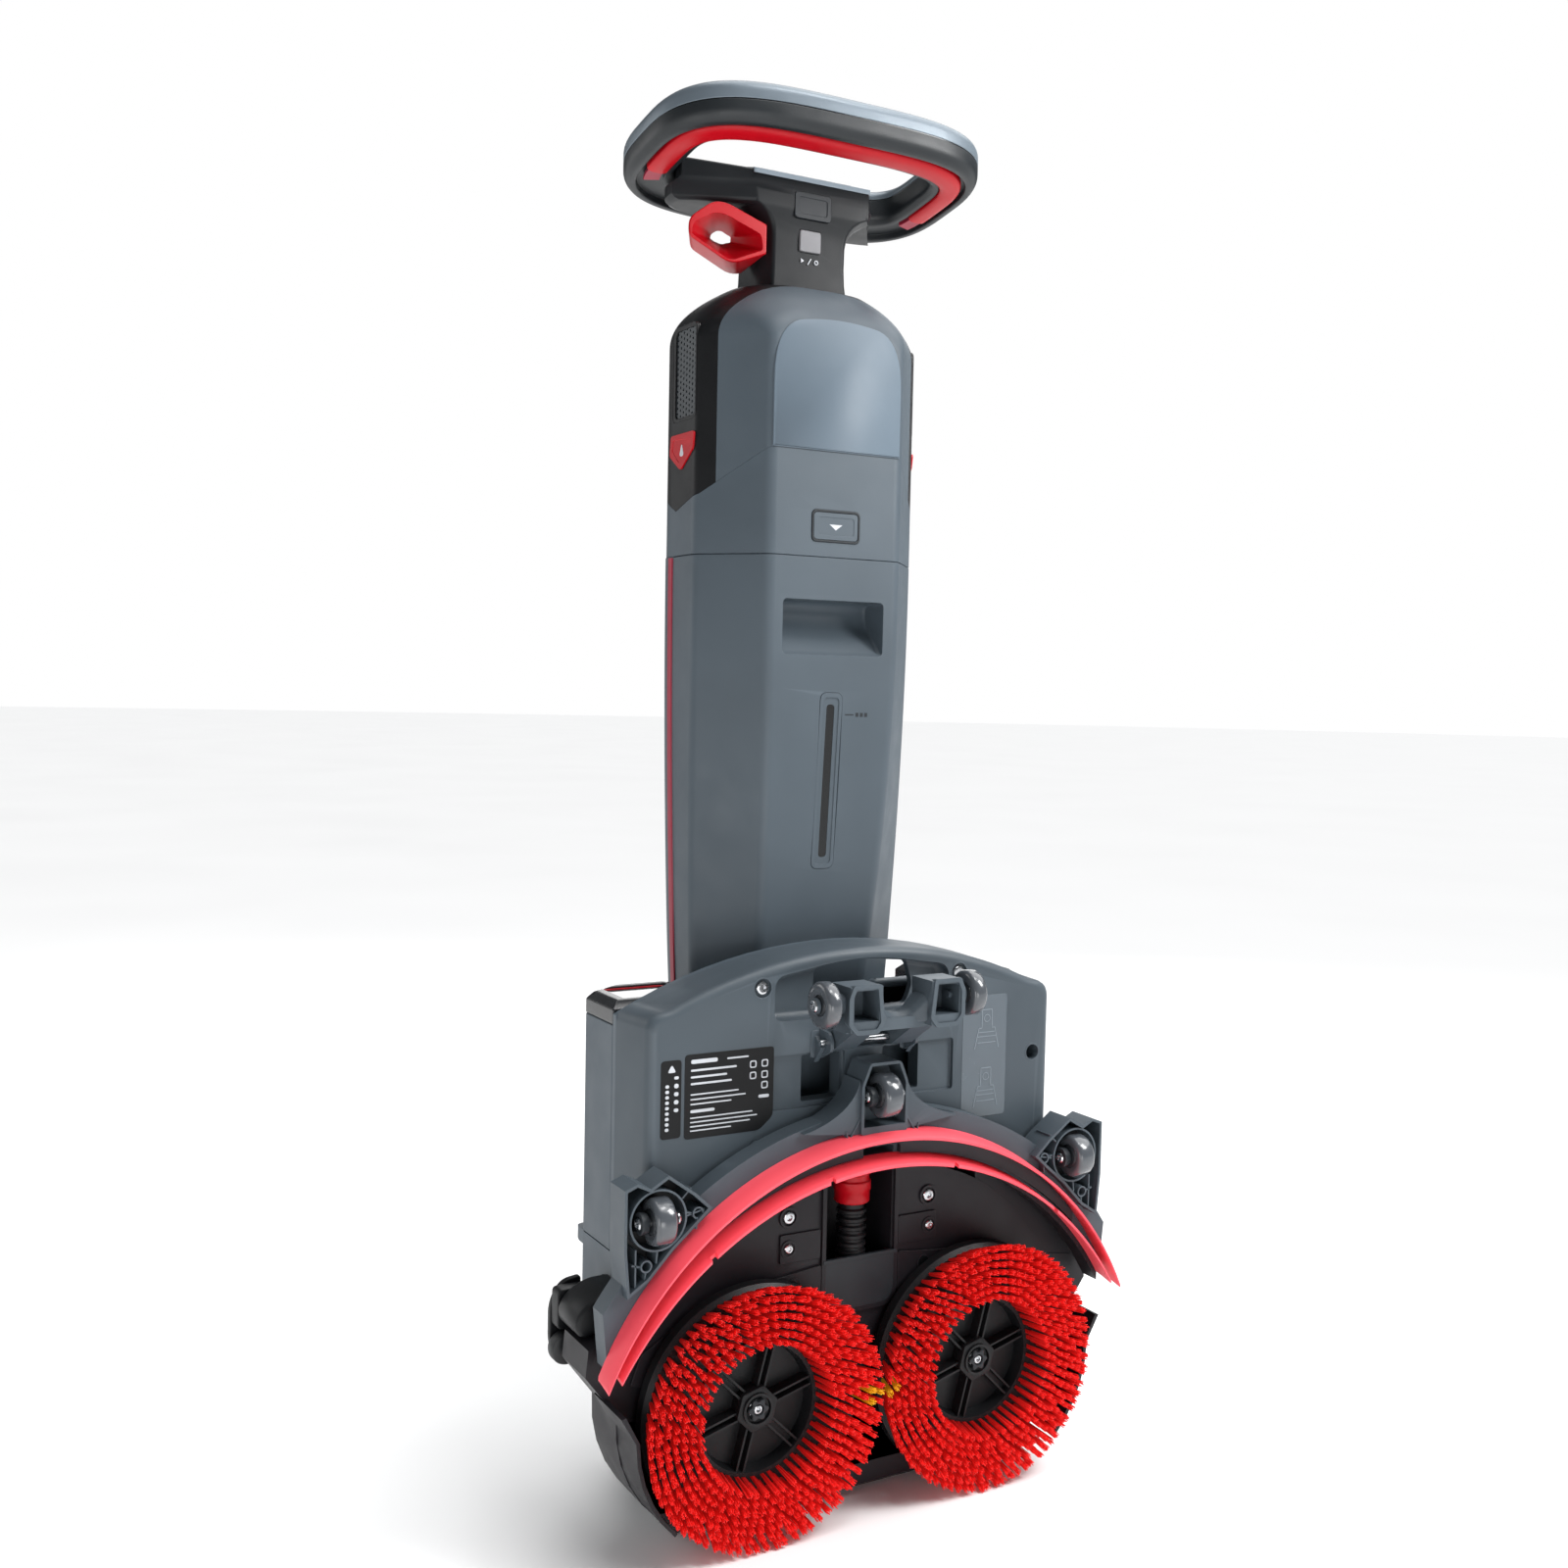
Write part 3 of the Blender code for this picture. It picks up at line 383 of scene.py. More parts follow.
def boolean(target, tools, operation):
    for tool in tools:
        mod = target.modifiers.new("work", "BOOLEAN")
        mod.operation = operation
        mod.object = tool
    settle(target)
    if not target.data.polygons:
        raise RuntimeError("a boolean left nothing of " + target.name)
    for tool in tools:
        bpy.data.objects.remove(tool)
    return target


def cut(target, *tools):
    return boolean(target, tools, "DIFFERENCE")


def fuse(target, *tools):
    return boolean(target, tools, "UNION")


def gather(*parts):
    """Several closed shells as one mesh."""
    bm = bmesh.new()
    for part in parts:
        bm.from_mesh(part.data)
        bpy.data.objects.remove(part)
    return raw(bm)


def soften(obj, width, segments=3, angle=32):
    mod = obj.modifiers.new("soften", "BEVEL")
    mod.width = width
    mod.segments = segments
    mod.limit_method = "ANGLE"
    mod.angle_limit = radians(angle)
    mod.miter_outer = "MITER_ARC"
    return settle(obj)


def piece(obj, name, material, body, nodes=(), bevel=0.0, segments=3, smooth=34, slot=None):
    """Rounds the edges, sets the piece down in the row frame and hangs it on its body."""
    if bevel:
        soften(obj, bevel, segments)
    obj.name = name
    obj.data.name = name
    obj.data.transform(TO_ROW)
    obj.data.materials.clear()
    obj.data.materials.append(material)
    obj.data.shade_smooth()
    obj.data.set_sharp_from_angle(angle=radians(smooth))
    if bevel:
        obj.modifiers.new("weighted", "WEIGHTED_NORMAL").keep_sharp = True
        settle(obj)
    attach(obj, body)
    if nodes:
        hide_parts(*nodes)
    slot = slot or SLOT_OF[material.name]
    return obj


def from_node(node):
    """A CAD node's shape as a work mesh in millimetres, its flat faces whole again, ready for rounding."""
    bm = bmesh.new()
    bm.from_mesh(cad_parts[node].data)
    bmesh.ops.transform(bm, matrix=TO_ROW.inverted(), verts=bm.verts)
    bmesh.ops.remove_doubles(bm, verts=bm.verts, dist=0.002)
    bmesh.ops.dissolve_limit(bm, angle_limit=radians(0.8), verts=bm.verts, edges=bm.edges)
    return raw(bm)


def screw(u, v, face, axis="y", radius=4.6, sign=-1, depth=2.2):
    """A pan-head machine screw with a hex socket, its head standing off face towards sign."""
    steps = 24
    tip = face + sign * depth
    profile = [(radius * 0.98, face), (radius, face + sign * depth * 0.4),
               (radius * 0.84, face + sign * depth * 0.86), (radius * 0.62, tip), (radius * 0.5, tip),
               (radius * 0.44, tip - sign * depth * 0.7)]
    rings = []
    for r, h in profile:
        rings.append([solid_point(axis, u + r * cos(2 * pi * i / steps), v + r * sin(2 * pi * i / steps), h)
                      for i in range(steps)])
    return skin(rings)


def washer(u, v, face, axis="y", outer=6.5, inner=4.7, sign=-1, depth=0.8):
    """A raised ring round a screw or a hole."""
    centre = solid_point(axis, u, v, 0)
    profile = [(inner, face), (outer, face), (outer - 0.3, face + sign * depth),
               (inner + 0.3, face + sign * depth)]
    return turned(profile, axis, centre, 32)


# ---------------------------------------------------------------- column

SEAM_Z = 743.3
FRONT_SEAM_Z = 826.0
HEAD_TOP = 960.0
CROWN_START = 912.0
SPLIT_Y = 186.0
COVER_SPLIT_Y = 137.0
TANK_BOTTOM = 276.0
SHELL_BOTTOM = 266.5
BACK_FACE = 236.0
BACK_SCREWS = ((38, 330), (42, 520), (44, 700))        # half spacing, height


def column_sizes(z, inset=0.0):
    """The column's half widths and depths at a height, as the CAD column has them."""
    drop = max(0.0, SEAM_Z - z)
    lean = max(0.0, 700.0 - z)
    shrink = (max(0.0, z - CROWN_START) / (HEAD_TOP - CROWN_START)) ** 2.2
    front = 103.0 + 2.6e-4 * lean ** 2 + 33 * shrink + inset
    half_front = 60.0 - 8.8e-5 * drop ** 2 - 20 * shrink - inset / 2
    half_side = 103.0 - 6.8e-5 * drop ** 2 - 43 * shrink - inset
    side_front = 150.0 + 1.25e-4 * drop ** 2 * exp(-drop / 600) + 14 * shrink
    side_front = max(side_front, front + 4 - inset)
    side_back = 206.0 - 15 * shrink
    back = BACK_FACE - 25 * shrink - inset
    return front, half_front, half_side, side_front, side_back, back


def whole_section(z, inset=0.0):
    front, half_front, half_side, side_front, side_back, back = column_sizes(z, inset)
    half_back = half_side * 0.68
    left = [(-half_front, front), (-half_side, side_front), (-half_side, side_back), (-half_back, back)]
    outline = left + [(-x, y) for x, y in reversed(left)]
    crown = max(0.0, z - CROWN_START) / (HEAD_TOP - CROWN_START)
    front_turn, side_turn = 6 + 40 * crown, 5 + 26 * crown
    return rounded(outline, [front_turn, side_turn, 14, 16, 16, 14, side_turn, front_turn], 6)


def front_section(z, inset=0.0, back=SPLIT_Y - GAP / 2):
    front, half_front, half_side, side_front, _, _ = column_sizes(z, inset)
    side_front = min(side_front, back - inset - 3)
    left = [(-half_front, front), (-half_side, side_front), (-half_side, back - inset)]
    outline = left + [(-x, y) for x, y in reversed(left)]
    return rounded(outline, [6, 5, 0.6, 0.6, 5, 6], 5)


def rear_section(z, inset=0.0, front=SPLIT_Y + GAP / 2):
    _, _, half_side, _, side_back, back = column_sizes(z, inset)
    half_back = half_side * 0.68
    left = [(-half_side, front), (-half_side, side_back), (-half_back, back)]
    outline = left + [(-x, y) for x, y in reversed(left)]
    return rounded(outline, [0.6, 14, 16, 16, 14, 0.6], 5)


def column_loft(section, levels, inset=0.0):
    return skin([[Vector((x, y, z)) for x, y in section(z, inset)] for z in levels])


def slot_outline(half_x, low, high, radius):
    return rounded(rectangle(-half_x, half_x, low, high), radius, 6)


def front_y(z):
    return column_sizes(z)[0]


def front_patch(outline, proud, deep):
    """A prism through the column's front face, following its lean."""
    rings = []
    for shift in (-proud, deep):
        rings.append([Vector((x, front_y(z) + shift, z)) for x, z in outline])
    return skin(rings)


def make_tank():
    top = SEAM_Z - GAP
    tank = skin([[Vector((x, y, TANK_BOTTOM)) for x, y in front_section(TANK_BOTTOM, 1.2)]]
                + [[Vector((x, y, z)) for x, y in front_section(z)]
                   for z in spread(TANK_BOTTOM + 1.2, top - 0.8, 36)]
                + [[Vector((x, y, top)) for x, y in front_section(top, 0.8)]])
    grip = rounded([(90, 709), (90, 661), (103.5, 664.5), (132, 692), (132, 709)], [0.5, 0.5, 6, 9, 9], 5)
    recess = stepped(grip, "x", ((3, -47), (1.2, -46.2), (0, -44), (0, 44), (1.2, 46.2), (3, 47)))
    top_well = column_loft(front_section, [top - 5.6, top + 6], 3.0)
    pocket = front_patch(slot_outline(10.6, 492.4, 635.6, 6.5), 5, 1.6)
    cut(tank, recess, top_well, pocket)
    piece(tank, "water_tank_shell", GREY, "water_tank", ["clean_water_tank"], 0.5, 2)
    frame_ring = front_patch(slot_outline(10.3, 492.7, 635.3, 6.2), 0.5, 1.5)
    cut(frame_ring, front_patch(slot_outline(7.4, 496.5, 631.5, 4.2), 5, 0.4))
    cut(frame_ring, front_patch(slot_outline(3.6, 502, 626, 3.4), 5, 3))
    piece(frame_ring, "level_frame", GREY, "water_tank", ["level_window"], 0.4, 2)
    piece(front_patch(slot_outline(3.5, 502.1, 625.9, 3.3), -0.9, 1.5), "level_slit", SLIT_AND_PAINTED_SHADE, "water_tank",
          bevel=0.2, slot="smoked_window")
    marks = [front_patch(rectangle(13.5, 21.5, 617.4, 618.4), 0.12, 0.5)]
    marks += [front_patch(rectangle(23.5 + 4.2 * i, 26.3 + 4.2 * i, 616.3, 619.5), 0.12, 0.5)
              for i in range(3)]
    piece(gather(*marks), "level_mark", DARK, "water_tank")
    plate = rounded([(x, y) for x, y in front_section(top, 3.4)][::3], 1.0, 1)
    lid = prism(plate, "z", top - 5.3, top - 2.2)
    piece(lid, "tank_top", DARK, "water_tank", ["tank_top_plate"], 0.4)
    cap = turned([(0.4, top - 3), (15, top - 3), (15, top - 1.2), (13.5, top - 0.4), (0.4, top - 0.4)],
                 "z", (0, 150, 0))
    grips = [block((-1.2, 137, top - 1), (1.2, 163, top - 0.1))]
    piece(gather(cap, *grips), "filler_cap", BLACK, "water_tank", bevel=0.3, slot="dark_plastic")


STRIPE_SECTION = ((-0.8, 186.5), (1.0, 187.0), (1.2, 190), (1.0, 193.4), (-0.8, 194))     # proud of the side, y


def make_rear_shell():
    top = SEAM_Z - GAP
    levels = spread(SHELL_BOTTOM, top, 36)
    shell = column_loft(rear_section, levels)
    hollow = column_loft(lambda z, i: rear_section(z, i, 170), spread(SHELL_BOTTOM + 3, top + 10, 20), 3.0)
    cut(shell, hollow)
    groove = prism(rounded(rectangle(-24, 24, 300, 700), 20, 6), "y", 234.9, 250)
    cut(shell, groove)
    piece(shell, "column_back_moulding", GREY, "column", ["column_back_shell"], 0.6, 2)
    for half_x, z in BACK_SCREWS:
        for side, tag in SIDES:
            seat = washer(side * half_x, z, BACK_FACE, "y", 7.0, 4.9, 1, 0.7)
            piece(seat, f"back_screw_seat_{tag[0]}{z}", GREY, "column")
            head = screw(side * half_x, z, BACK_FACE - 0.4, "y", 4.2, 1, 0.9)
            piece(head, f"back_screw_{tag[0]}{z}", STEEL, "column")
    for side, tag in SIDES:
        rings = []
        for z in spread(300, top - 1, 36):
            half_side = column_sizes(z)[2] + 0.1
            rings.append([Vector((side * half_side + side * out, y, z)) for out, y in STRIPE_SECTION])
        piece(skin(rings), f"{tag}_side_stripe", STRIPE_RED, "column", [f"{tag}_red_stripe"])


def collar_edge(shift):
    line = [(50, FRONT_SEAM_Z), (104, FRONT_SEAM_Z), (147, 790.7), (183, 779), (207, 791), (300, 800)]
    return [(y, z + shift) for y, z in line]


def head_solid(inset=0.0):
    levels = [SEAM_Z] + spread(780, CROWN_START, 6) + spread(CROWN_START + 3, HEAD_TOP - 4,
                                                             16) + [HEAD_TOP - 2, HEAD_TOP]
    levels = [z for z in levels if inset == 0 or z < HEAD_TOP - 3]
    if inset:
        levels[0] = SEAM_Z - 20
    return column_loft(whole_section, levels, inset)


def make_collar():
    collar = head_solid()
    above = prism(collar_edge(-GAP / 2) + [(300, 1100), (50, 1100)], "x", -150, 150)
    pocket = prism(slot_outline(22.6, 754.6, 780.4, 5.0), "y", 90, 118)
    cut(collar, above, head_solid(3.0), pocket)
    piece(collar, "collar_shell", GREY, "column", ["column_collar"], 0.6, 2)
    trim = prism(slot_outline(22.4, 754.8, 780.2, 4.8), "y", 102.2, 108)
    cut(trim, prism(slot_outline(20.7, 756.5, 778.5, 3.6), "y", 95, 120))
    piece(trim, "release_trim", DARK, "column", bevel=0.4, slot="grey_plastic")
    button = prism(slot_outline(20.4, 756.8, 778.2, 3.4), "y", 102.6, 108)
    cut(button, prism(slot_outline(16.8, 760.4, 774.6, 2.4), "y", 95, 103.0))
    piece(button, "release_key", GREY, "release", ["release_button"], 0.5)
    arrow = prism([(-6, 769), (6, 769), (0, 764.6)], "y", 102.7, 103.3)
    piece(arrow, "release_mark", PRINT, "release", bevel=0.1, segments=1)


def make_head():
    upper = head_solid()
    below = prism(collar_edge(GAP / 2) + [(300, 600), (50, 600)], "x", -150, 150)
    rear = block((-150, COVER_SPLIT_Y - GAP / 2, 700), (150, 300, 1000))
    cut(upper, below, rear, head_solid(3.0))
    piece(upper, "head_front_shell", GREY, "column", ["head_cover"], 0.6, 2)
    face = [(-58.6, 826.6), (-58.6, 923), (0, 931), (58.6, 923), (58.6, 826.6)]
    panel = rounded(face, [0.6, 42, 60, 42, 0.6], 10)
    raised = skin([ring_at(panel, "y", 106), ring_at(panel, "y", 102.6),
                   ring_at(offset(panel, 0.9), "y", 101.9)])
    # The raised panel takes the lighter grey that paints the head front's brighter light.
    piece(raised, "head_front_panel", PANEL_GREY_PAINTED_LIGHT, "column", smooth=50)
    back = head_solid()
    below = prism(collar_edge(GAP / 2) + [(300, 600), (50, 600)], "x", -150, 150)
    front = block((-150, 50, 700), (150, COVER_SPLIT_Y + GAP / 2, 1000))
    tools = [below, front, head_solid(3.0)]
    for side in (-1, 1):
        x0, x1 = span(side, 99.2, 110)
        frame_shape = rounded(rectangle(150.3, 191.7, 850, 926), 6, 6)
        tools.append(prism(frame_shape, "x", x0, x1))
    cut(back, *tools)
    piece(back, "head_rear_shell", BLACK, "column", ["head_back_shell"], 0.7, 2)
    for side, tag in SIDES:
        make_grille(side, tag)
        make_badge(side, tag)


def make_grille(side, tag):
    """Perforated plate: every hole is cut through, over a near-black sheet of painted shade for the dark inside
    of the head.
    """
    wide, high, radius, steps = 5.27, 4.5, 1.2, 8
    low_y, low_z, columns, rows = 151.4, 850.6, 7, 16
    front, back = side * 101.6, side * 100.2
    bm = bmesh.new()
    for c, r in [(c, r) for c in range(columns) for r in range(rows)]:
        y = low_y + (c + 0.5) * wide
        z = low_z + (r + 0.5 + 0.5 * (c % 2)) * high
        square = []
        for i in range(steps):
            a = 2 * pi * i / steps
            reach = 1 / max(abs(cos(a)), abs(sin(a)))
            square.append((y + wide / 2 * reach * cos(a), z + high / 2 * reach * sin(a)))
        ring = circle(y, z, radius, steps)
        outer = [bm.verts.new((front, u, v)) for u, v in square]
        inner = [bm.verts.new((front, u, v)) for u, v in ring]
        deep = [bm.verts.new((back, u, v)) for u, v in ring]
        for i in range(steps):
            j = (i + 1) % steps
            bm.faces.new((outer[i], outer[j], inner[j], inner[i]))
            bm.faces.new((inner[i], inner[j], deep[j], deep[i]))
    bmesh.ops.remove_doubles(bm, verts=bm.verts, dist=0.01)
    plate = raw(bm)
    piece(plate, f"{tag}_grille_mesh", GRILLE, "column", [f"{tag}_speaker_grille"])
    # Painted shade: a near-black sheet behind the holes stands for the dark inside of the head.
    outline = rounded(rectangle(150.6, 189.4, 850.3, 925.7), 5, 5)
    x0, x1 = span(side, 99.3, 100.0)
    piece(prism(outline, "x", x0, x1), f"{tag}_grille_painted_shade", SLIT_AND_PAINTED_SHADE, "column")
    x0, x1 = span(side, 99.4, 102.9)
    rim = prism(rounded(rectangle(150.4, 191.6, 850.1, 925.9), 6, 6), "x", x0, x1)
    x0, x1 = span(side, 90, 110)
    cut(rim, prism(rounded(rectangle(152.2, 187.4, 853, 922.4), 5, 6), "x", x0, x1))
    piece(rim, f"{tag}_grille_rim", BLACK, "column", bevel=0.5)


def make_badge(side, tag):
    shape = rounded([(150, 840), (192, 840), (194, 824), (174, 811), (152, 826)], 3, 4)
    x0, x1 = span(side, 102.6, 104.4)
    badge = prism(shape, "x", x0, x1)
    x0, x1 = span(side, 104.0, 106)
    cut(badge, prism(rounded(offset(shape[::5], 3.4), 2, 3), "x", x0, x1))
    piece(badge, f"{tag}_badge", RED, "column", [f"{tag}_side_badge"], 0.4)
    drop = rounded([(168, 822), (176, 822), (172, 833)], 3.6, 5)
    x0, x1 = span(side, 103.6, 104.3)
    piece(prism(drop, "x", x0, x1), f"{tag}_badge_drop", PRINT, "column", bevel=0.2, segments=1)


# ---------------------------------------------------------------- handle

LOOP_HALF = 147.0
LOOP_FRONT = 78.0
LOOP_BACK = 254.0
LOOP_Z = 1065.6
LOOP_SLOPE = -0.17
LOOP_POWER = 3.6
BAR_A = 20.5
BAR_B = 17.0


def loop_point(angle, out=0.0, up=0.0):
    half_x = LOOP_HALF - BAR_A
    half_y = (LOOP_BACK - LOOP_FRONT) / 2 - BAR_A
    middle = (LOOP_BACK + LOOP_FRONT) / 2

    def base(a):
        c, s = cos(a), sin(a)
        x = half_x * abs(c) ** (2 / LOOP_POWER) * (1 if c >= 0 else -1)
        y = half_y * abs(s) ** (2 / LOOP_POWER) * (1 if s >= 0 else -1)
        return Vector((x, y, 0))
    here = base(angle)
    step = base(angle + 0.02) - base(angle - 0.02)
    normal = Vector((step.y, -step.x, 0)).normalized()
    flat = here + normal * out
    return Vector((flat.x, middle + flat.y, LOOP_Z + LOOP_SLOPE * flat.y + up))


def loop_angles(start, end, steps):
    angles = []
    for i in range(steps + 1):
        t = start + (end - start) * i / steps
        angles.append(t + 0.16 * sin(4 * t))
    return angles


def loop_sweep(section, start=0.0, end=2 * pi, steps=150, closed=True):
    angles = loop_angles(start, end, steps)
    if closed:
        angles = angles[:-1]
    return skin([[loop_point(a, n, u) for n, u in section] for a in angles], closed=closed)


def make_handle():
    core = rounded([(10.3, -BAR_B), (16, -BAR_B), (BAR_A, -11), (BAR_A, -1.6), (-BAR_A, 4.8), (-BAR_A, -10.5),
                    (-15.5, -14.8), (-11.6, -15.2), (-11.6, -11.5), (10.3, -11.5)],
                   [1.5, 3.5, 3.5, 0.7, 0.7, 3.0, 1.5, 0.6, 0.5, 0.6], 5)
    piece(loop_sweep(core), "handle_grip", HANDLE_BLACK, "column", ["handle_core"], smooth=45)
    top = rounded([(-BAR_A, 5.6), (BAR_A, -0.8), (BAR_A, 10), (11, BAR_B), (-11, BAR_B), (-BAR_A, 10)],
                  [0.7, 0.7, 8, 10, 10, 8], 5)
    piece(loop_sweep(top), "handle_top_cover", HANDLE_GREY, "column", ["handle_cover"], smooth=45)
    seam = rounded([(-BAR_A + 0.6, 4.2), (BAR_A - 0.6, -2.2), (BAR_A - 0.6, -0.2), (-BAR_A + 0.6, 6.2)],
                   0.3, 1)
    piece(loop_sweep(seam, steps=120), "handle_seam", SLIT_AND_PAINTED_SHADE, "column")
    start, end = pi * 0.945, pi * 2.055
    strip = rounded([(-11.0, -11.8), (6.8, -11.8), (6.8, -16.2), (3, -18.4), (-7, -18.9), (-11.0, -17.0)],
                    [0.6, 0.6, 2.4, 4, 4, 1.6], 4)
    bar = loop_sweep(strip, start + 0.12, end - 0.12, 90, closed=False)
    piece(bar, "trigger_strip", RED, "trigger", ["trigger_bar"], smooth=45)
    clip = rounded([(-8.6, -12.6), (4.6, -12.6), (4.6, -16.4), (-8.6, -16.4)], 0.8, 3)
    ends = [loop_sweep(clip, start - 0.02, start + 0.15, 6, closed=False),
            loop_sweep(clip, end - 0.15, end + 0.02, 6, closed=False)]
    piece(gather(*ends), "trigger_end_clips", STRIPE_RED, "trigger", bevel=0.3, segments=2)


# ---------------------------------------------------------------- neck and panel

def neck_outline(front_half, back_half, front, back):
    left = [(-front_half, front), (-back_half, front + 14), (-back_half, back)]
    outline = left + [(-x, y) for x, y in reversed(left)]
    return rounded(outline, [2.5, 6, 10, 10, 6, 2.5], 4)


def panel_top(y):
    return 1051 + 0.28 * (y - 149)


def panel_outline(inset, reach):
    """The panel fills the loop's back and its left arm; reach is how far it stays inside the bar."""
    inside = [loop_point(a, -BAR_A - reach) for a in loop_angles(1.05, pi - 0.03, 30)]
    return [(-54 + inset, 149 + inset), (54 - inset, 149 + inset)] + [(p.x, p.y) for p in inside]


def make_neck():
    levels = [(HEAD_TOP + GAP, 35, 42, 152.5, 208), (972, 34, 41, 154, 207), (985, 33.5, 41, 154.5, 206),
              (1004, 33.5, 42, 154, 206), (1011, 34.5, 43, 153, 206), (1016, 37, 46, 152, 206),
              (1020, 40.5, 50, 151, 207), (1024, 46, 56, 150, 207), (1026.5, 51.5, 62, 149.5, 208),
              (1036, 53.2, 66, 149.3, 208)]
    neck = skin([[Vector((x, y, z)) for x, y in neck_outline(a, b, c, d)] for z, a, b, c, d in levels])
    rings = [[Vector((x, y, z)) for x, y in panel_outline(inset, reach)] for z, inset,
             reach in ((1025, 5.0, -1.0), (1026.5, 2.0, -5.0), (1029, 0.5, -7.5), (1038, 0.5, -7.5),
                       (1042, 0.5, -2.0), (1045, 0.8, 1.0))]
    rings += [[Vector((x, y, panel_top(y) - drop)) for x, y in panel_outline(inset, inset)]
              for drop, inset in ((1.0, 1.0), (0, 2.0))]
    panel = skin(rings)
    fuse(neck, panel)
    power = prism(slot_outline(17.4, 1018.6, 1039.9, 4), "y", 120, 161)
    mode = prism(slot_outline(10.4, 993.1, 1011.4, 2.5), "y", 120, 161)
    cut(neck, power, mode)
    piece(neck, "neck_and_panel", NECK_BLACK, "column", ["handle_neck"], 0.7, 2)
    band = [(-55, 148.6), (55, 148.6), (53, 158.0), (-53, 158.0)]
    bezel = skin([[Vector((x, y, panel_top(y) - 3.0)) for x, y in rounded(band, 2, 3)],
                  [Vector((x, y, panel_top(y) + 0.9)) for x, y in rounded(band, 2, 3)]])
    piece(bezel, "panel_bezel", GREY_LIGHT, "column", bevel=0.5)
    screen_shape = rounded(rectangle(-46, 46, 161, 200), 5, 5)
    screen = skin([[Vector((x, y, panel_top(y) + 0.2)) for x, y in screen_shape],
                   [Vector((x, y, panel_top(y) + 1.7)) for x, y in screen_shape],
                   [Vector((x, y, panel_top(y) + 2.1)) for x, y in offset(screen_shape, 0.6)]])
    piece(screen, "display_glass", SCREEN, "column", ["display_screen"], smooth=30)
    rim = skin([[Vector((x, y, panel_top(y) - 0.4)) for x, y in offset(screen_shape, -1.6)],
                [Vector((x, y, panel_top(y) + 1.0)) for x, y in offset(screen_shape, -1.2)]])
    cut(rim, skin([[Vector((x, y, panel_top(y) - 3)) for x, y in offset(screen_shape, -0.2)],
                   [Vector((x, y, panel_top(y) + 5)) for x, y in offset(screen_shape, -0.2)]]))
    piece(rim, "display_rim", DARK, "column")
    marks = [prism([(-8, 988.2), (-8, 984.8), (-5, 986.5)], "y", 153.4, 156),
             rib((-1.5, 984), (1.5, 989), 0.8, 153.4, 156),
             ring_wall(6.5, 986.5, 1.9, 1.2, 153.4, 156, 20)]
    piece(gather(*marks), "mode_marks", PRINT, "column")
    make_buttons()
    make_hook()


def make_buttons():
    power = prism(slot_outline(17, 1019, 1039.5, 3.6), "y", 148.9, 158)
    cut(power, skin([[Vector((x, 147, z)) for x, z in slot_outline(14.5, 1021.5, 1037, 3)],
                     [Vector((x, 149.4, z)) for x, z in slot_outline(13.2, 1022.8, 1035.7, 2.5)]]))
    piece(power, "power_key", DARK, "power", ["power_button"], 0.6)
    mode = prism(slot_outline(10, 993.5, 1011, 2.2), "y", 152.2, 158)
    piece(mode, "mode_key", SILVER, "mode", ["mode_button"], 0.9)


HOOK_FRONT = 150.0
HOOK_BACK = 184.0
HOOK_SKEW = 0.53        # the loop runs back and inwards


def hook_ring(outline, y, inset=0.0):
    shift = (y - HOOK_FRONT) * HOOK_SKEW
    return [Vector((min(x + shift, -41.5), y, z)) for x, z in offset(outline, inset)]


def make_hook():
    """A deep loop whose opening narrows towards its back."""
    outer = rounded([(-112, 990), (-112, 1004), (-91, 1020), (-79, 1021), (-42, 1009), (-42, 986),
                     (-74, 973)], [5, 7, 7, 7, 2, 2, 10], 5)
    turns = [3, 4, 5, 5, 3, 3, 6]
    mouth = rounded([(-109.5, 991.5), (-108, 1000.5), (-90, 1011), (-80, 1011.5), (-47, 1000.5),
                     (-45, 988.3), (-74.5, 975.6)], turns, 5)
    throat = rounded([(-92, 1001.5), (-91.5, 1004), (-88, 1007), (-84, 1007.5), (-78.5, 1005),
                      (-79, 1001.5), (-85, 1000)], [t * 0.3 for t in turns], 5)
    hook = skin([hook_ring(outer, y, inset) for y, inset in ((HOOK_FRONT, 1.4), (HOOK_FRONT + 0.5, 0.4),
                                                             (HOOK_FRONT + 1.5, 0), (HOOK_BACK - 1.5, 0),
                                                             (HOOK_BACK, 1.4))])
    opening = skin([[Vector((x + (y - HOOK_FRONT) * HOOK_SKEW, y, z)) for x, z in shape]
                    for y, shape in ((HOOK_FRONT - 8, mouth), (HOOK_FRONT, mouth), (HOOK_BACK + 4, throat))])
    piece(cut(hook, opening), "hook_loop", RED, "column", ["hanging_hook"], 0.8)


# ---------------------------------------------------------------- base

COVER_FRONT = 45.0
COVER_BACK = 90.2
COVER_HALF = 184.0
COVER_SIDE_TOP = 392.0
COVER_APEX = 438.0
COVER_SCREW = (90.4, 412.6)
COVER_HOLE = (166.6, 340.7)
BOX_HALF = 190.0
FRONT_ARC_Z = 17.8
FRONT_ARC_R = 257.5
REAR_ARC_Z = 43.0
REAR_ARC_R = 252.5


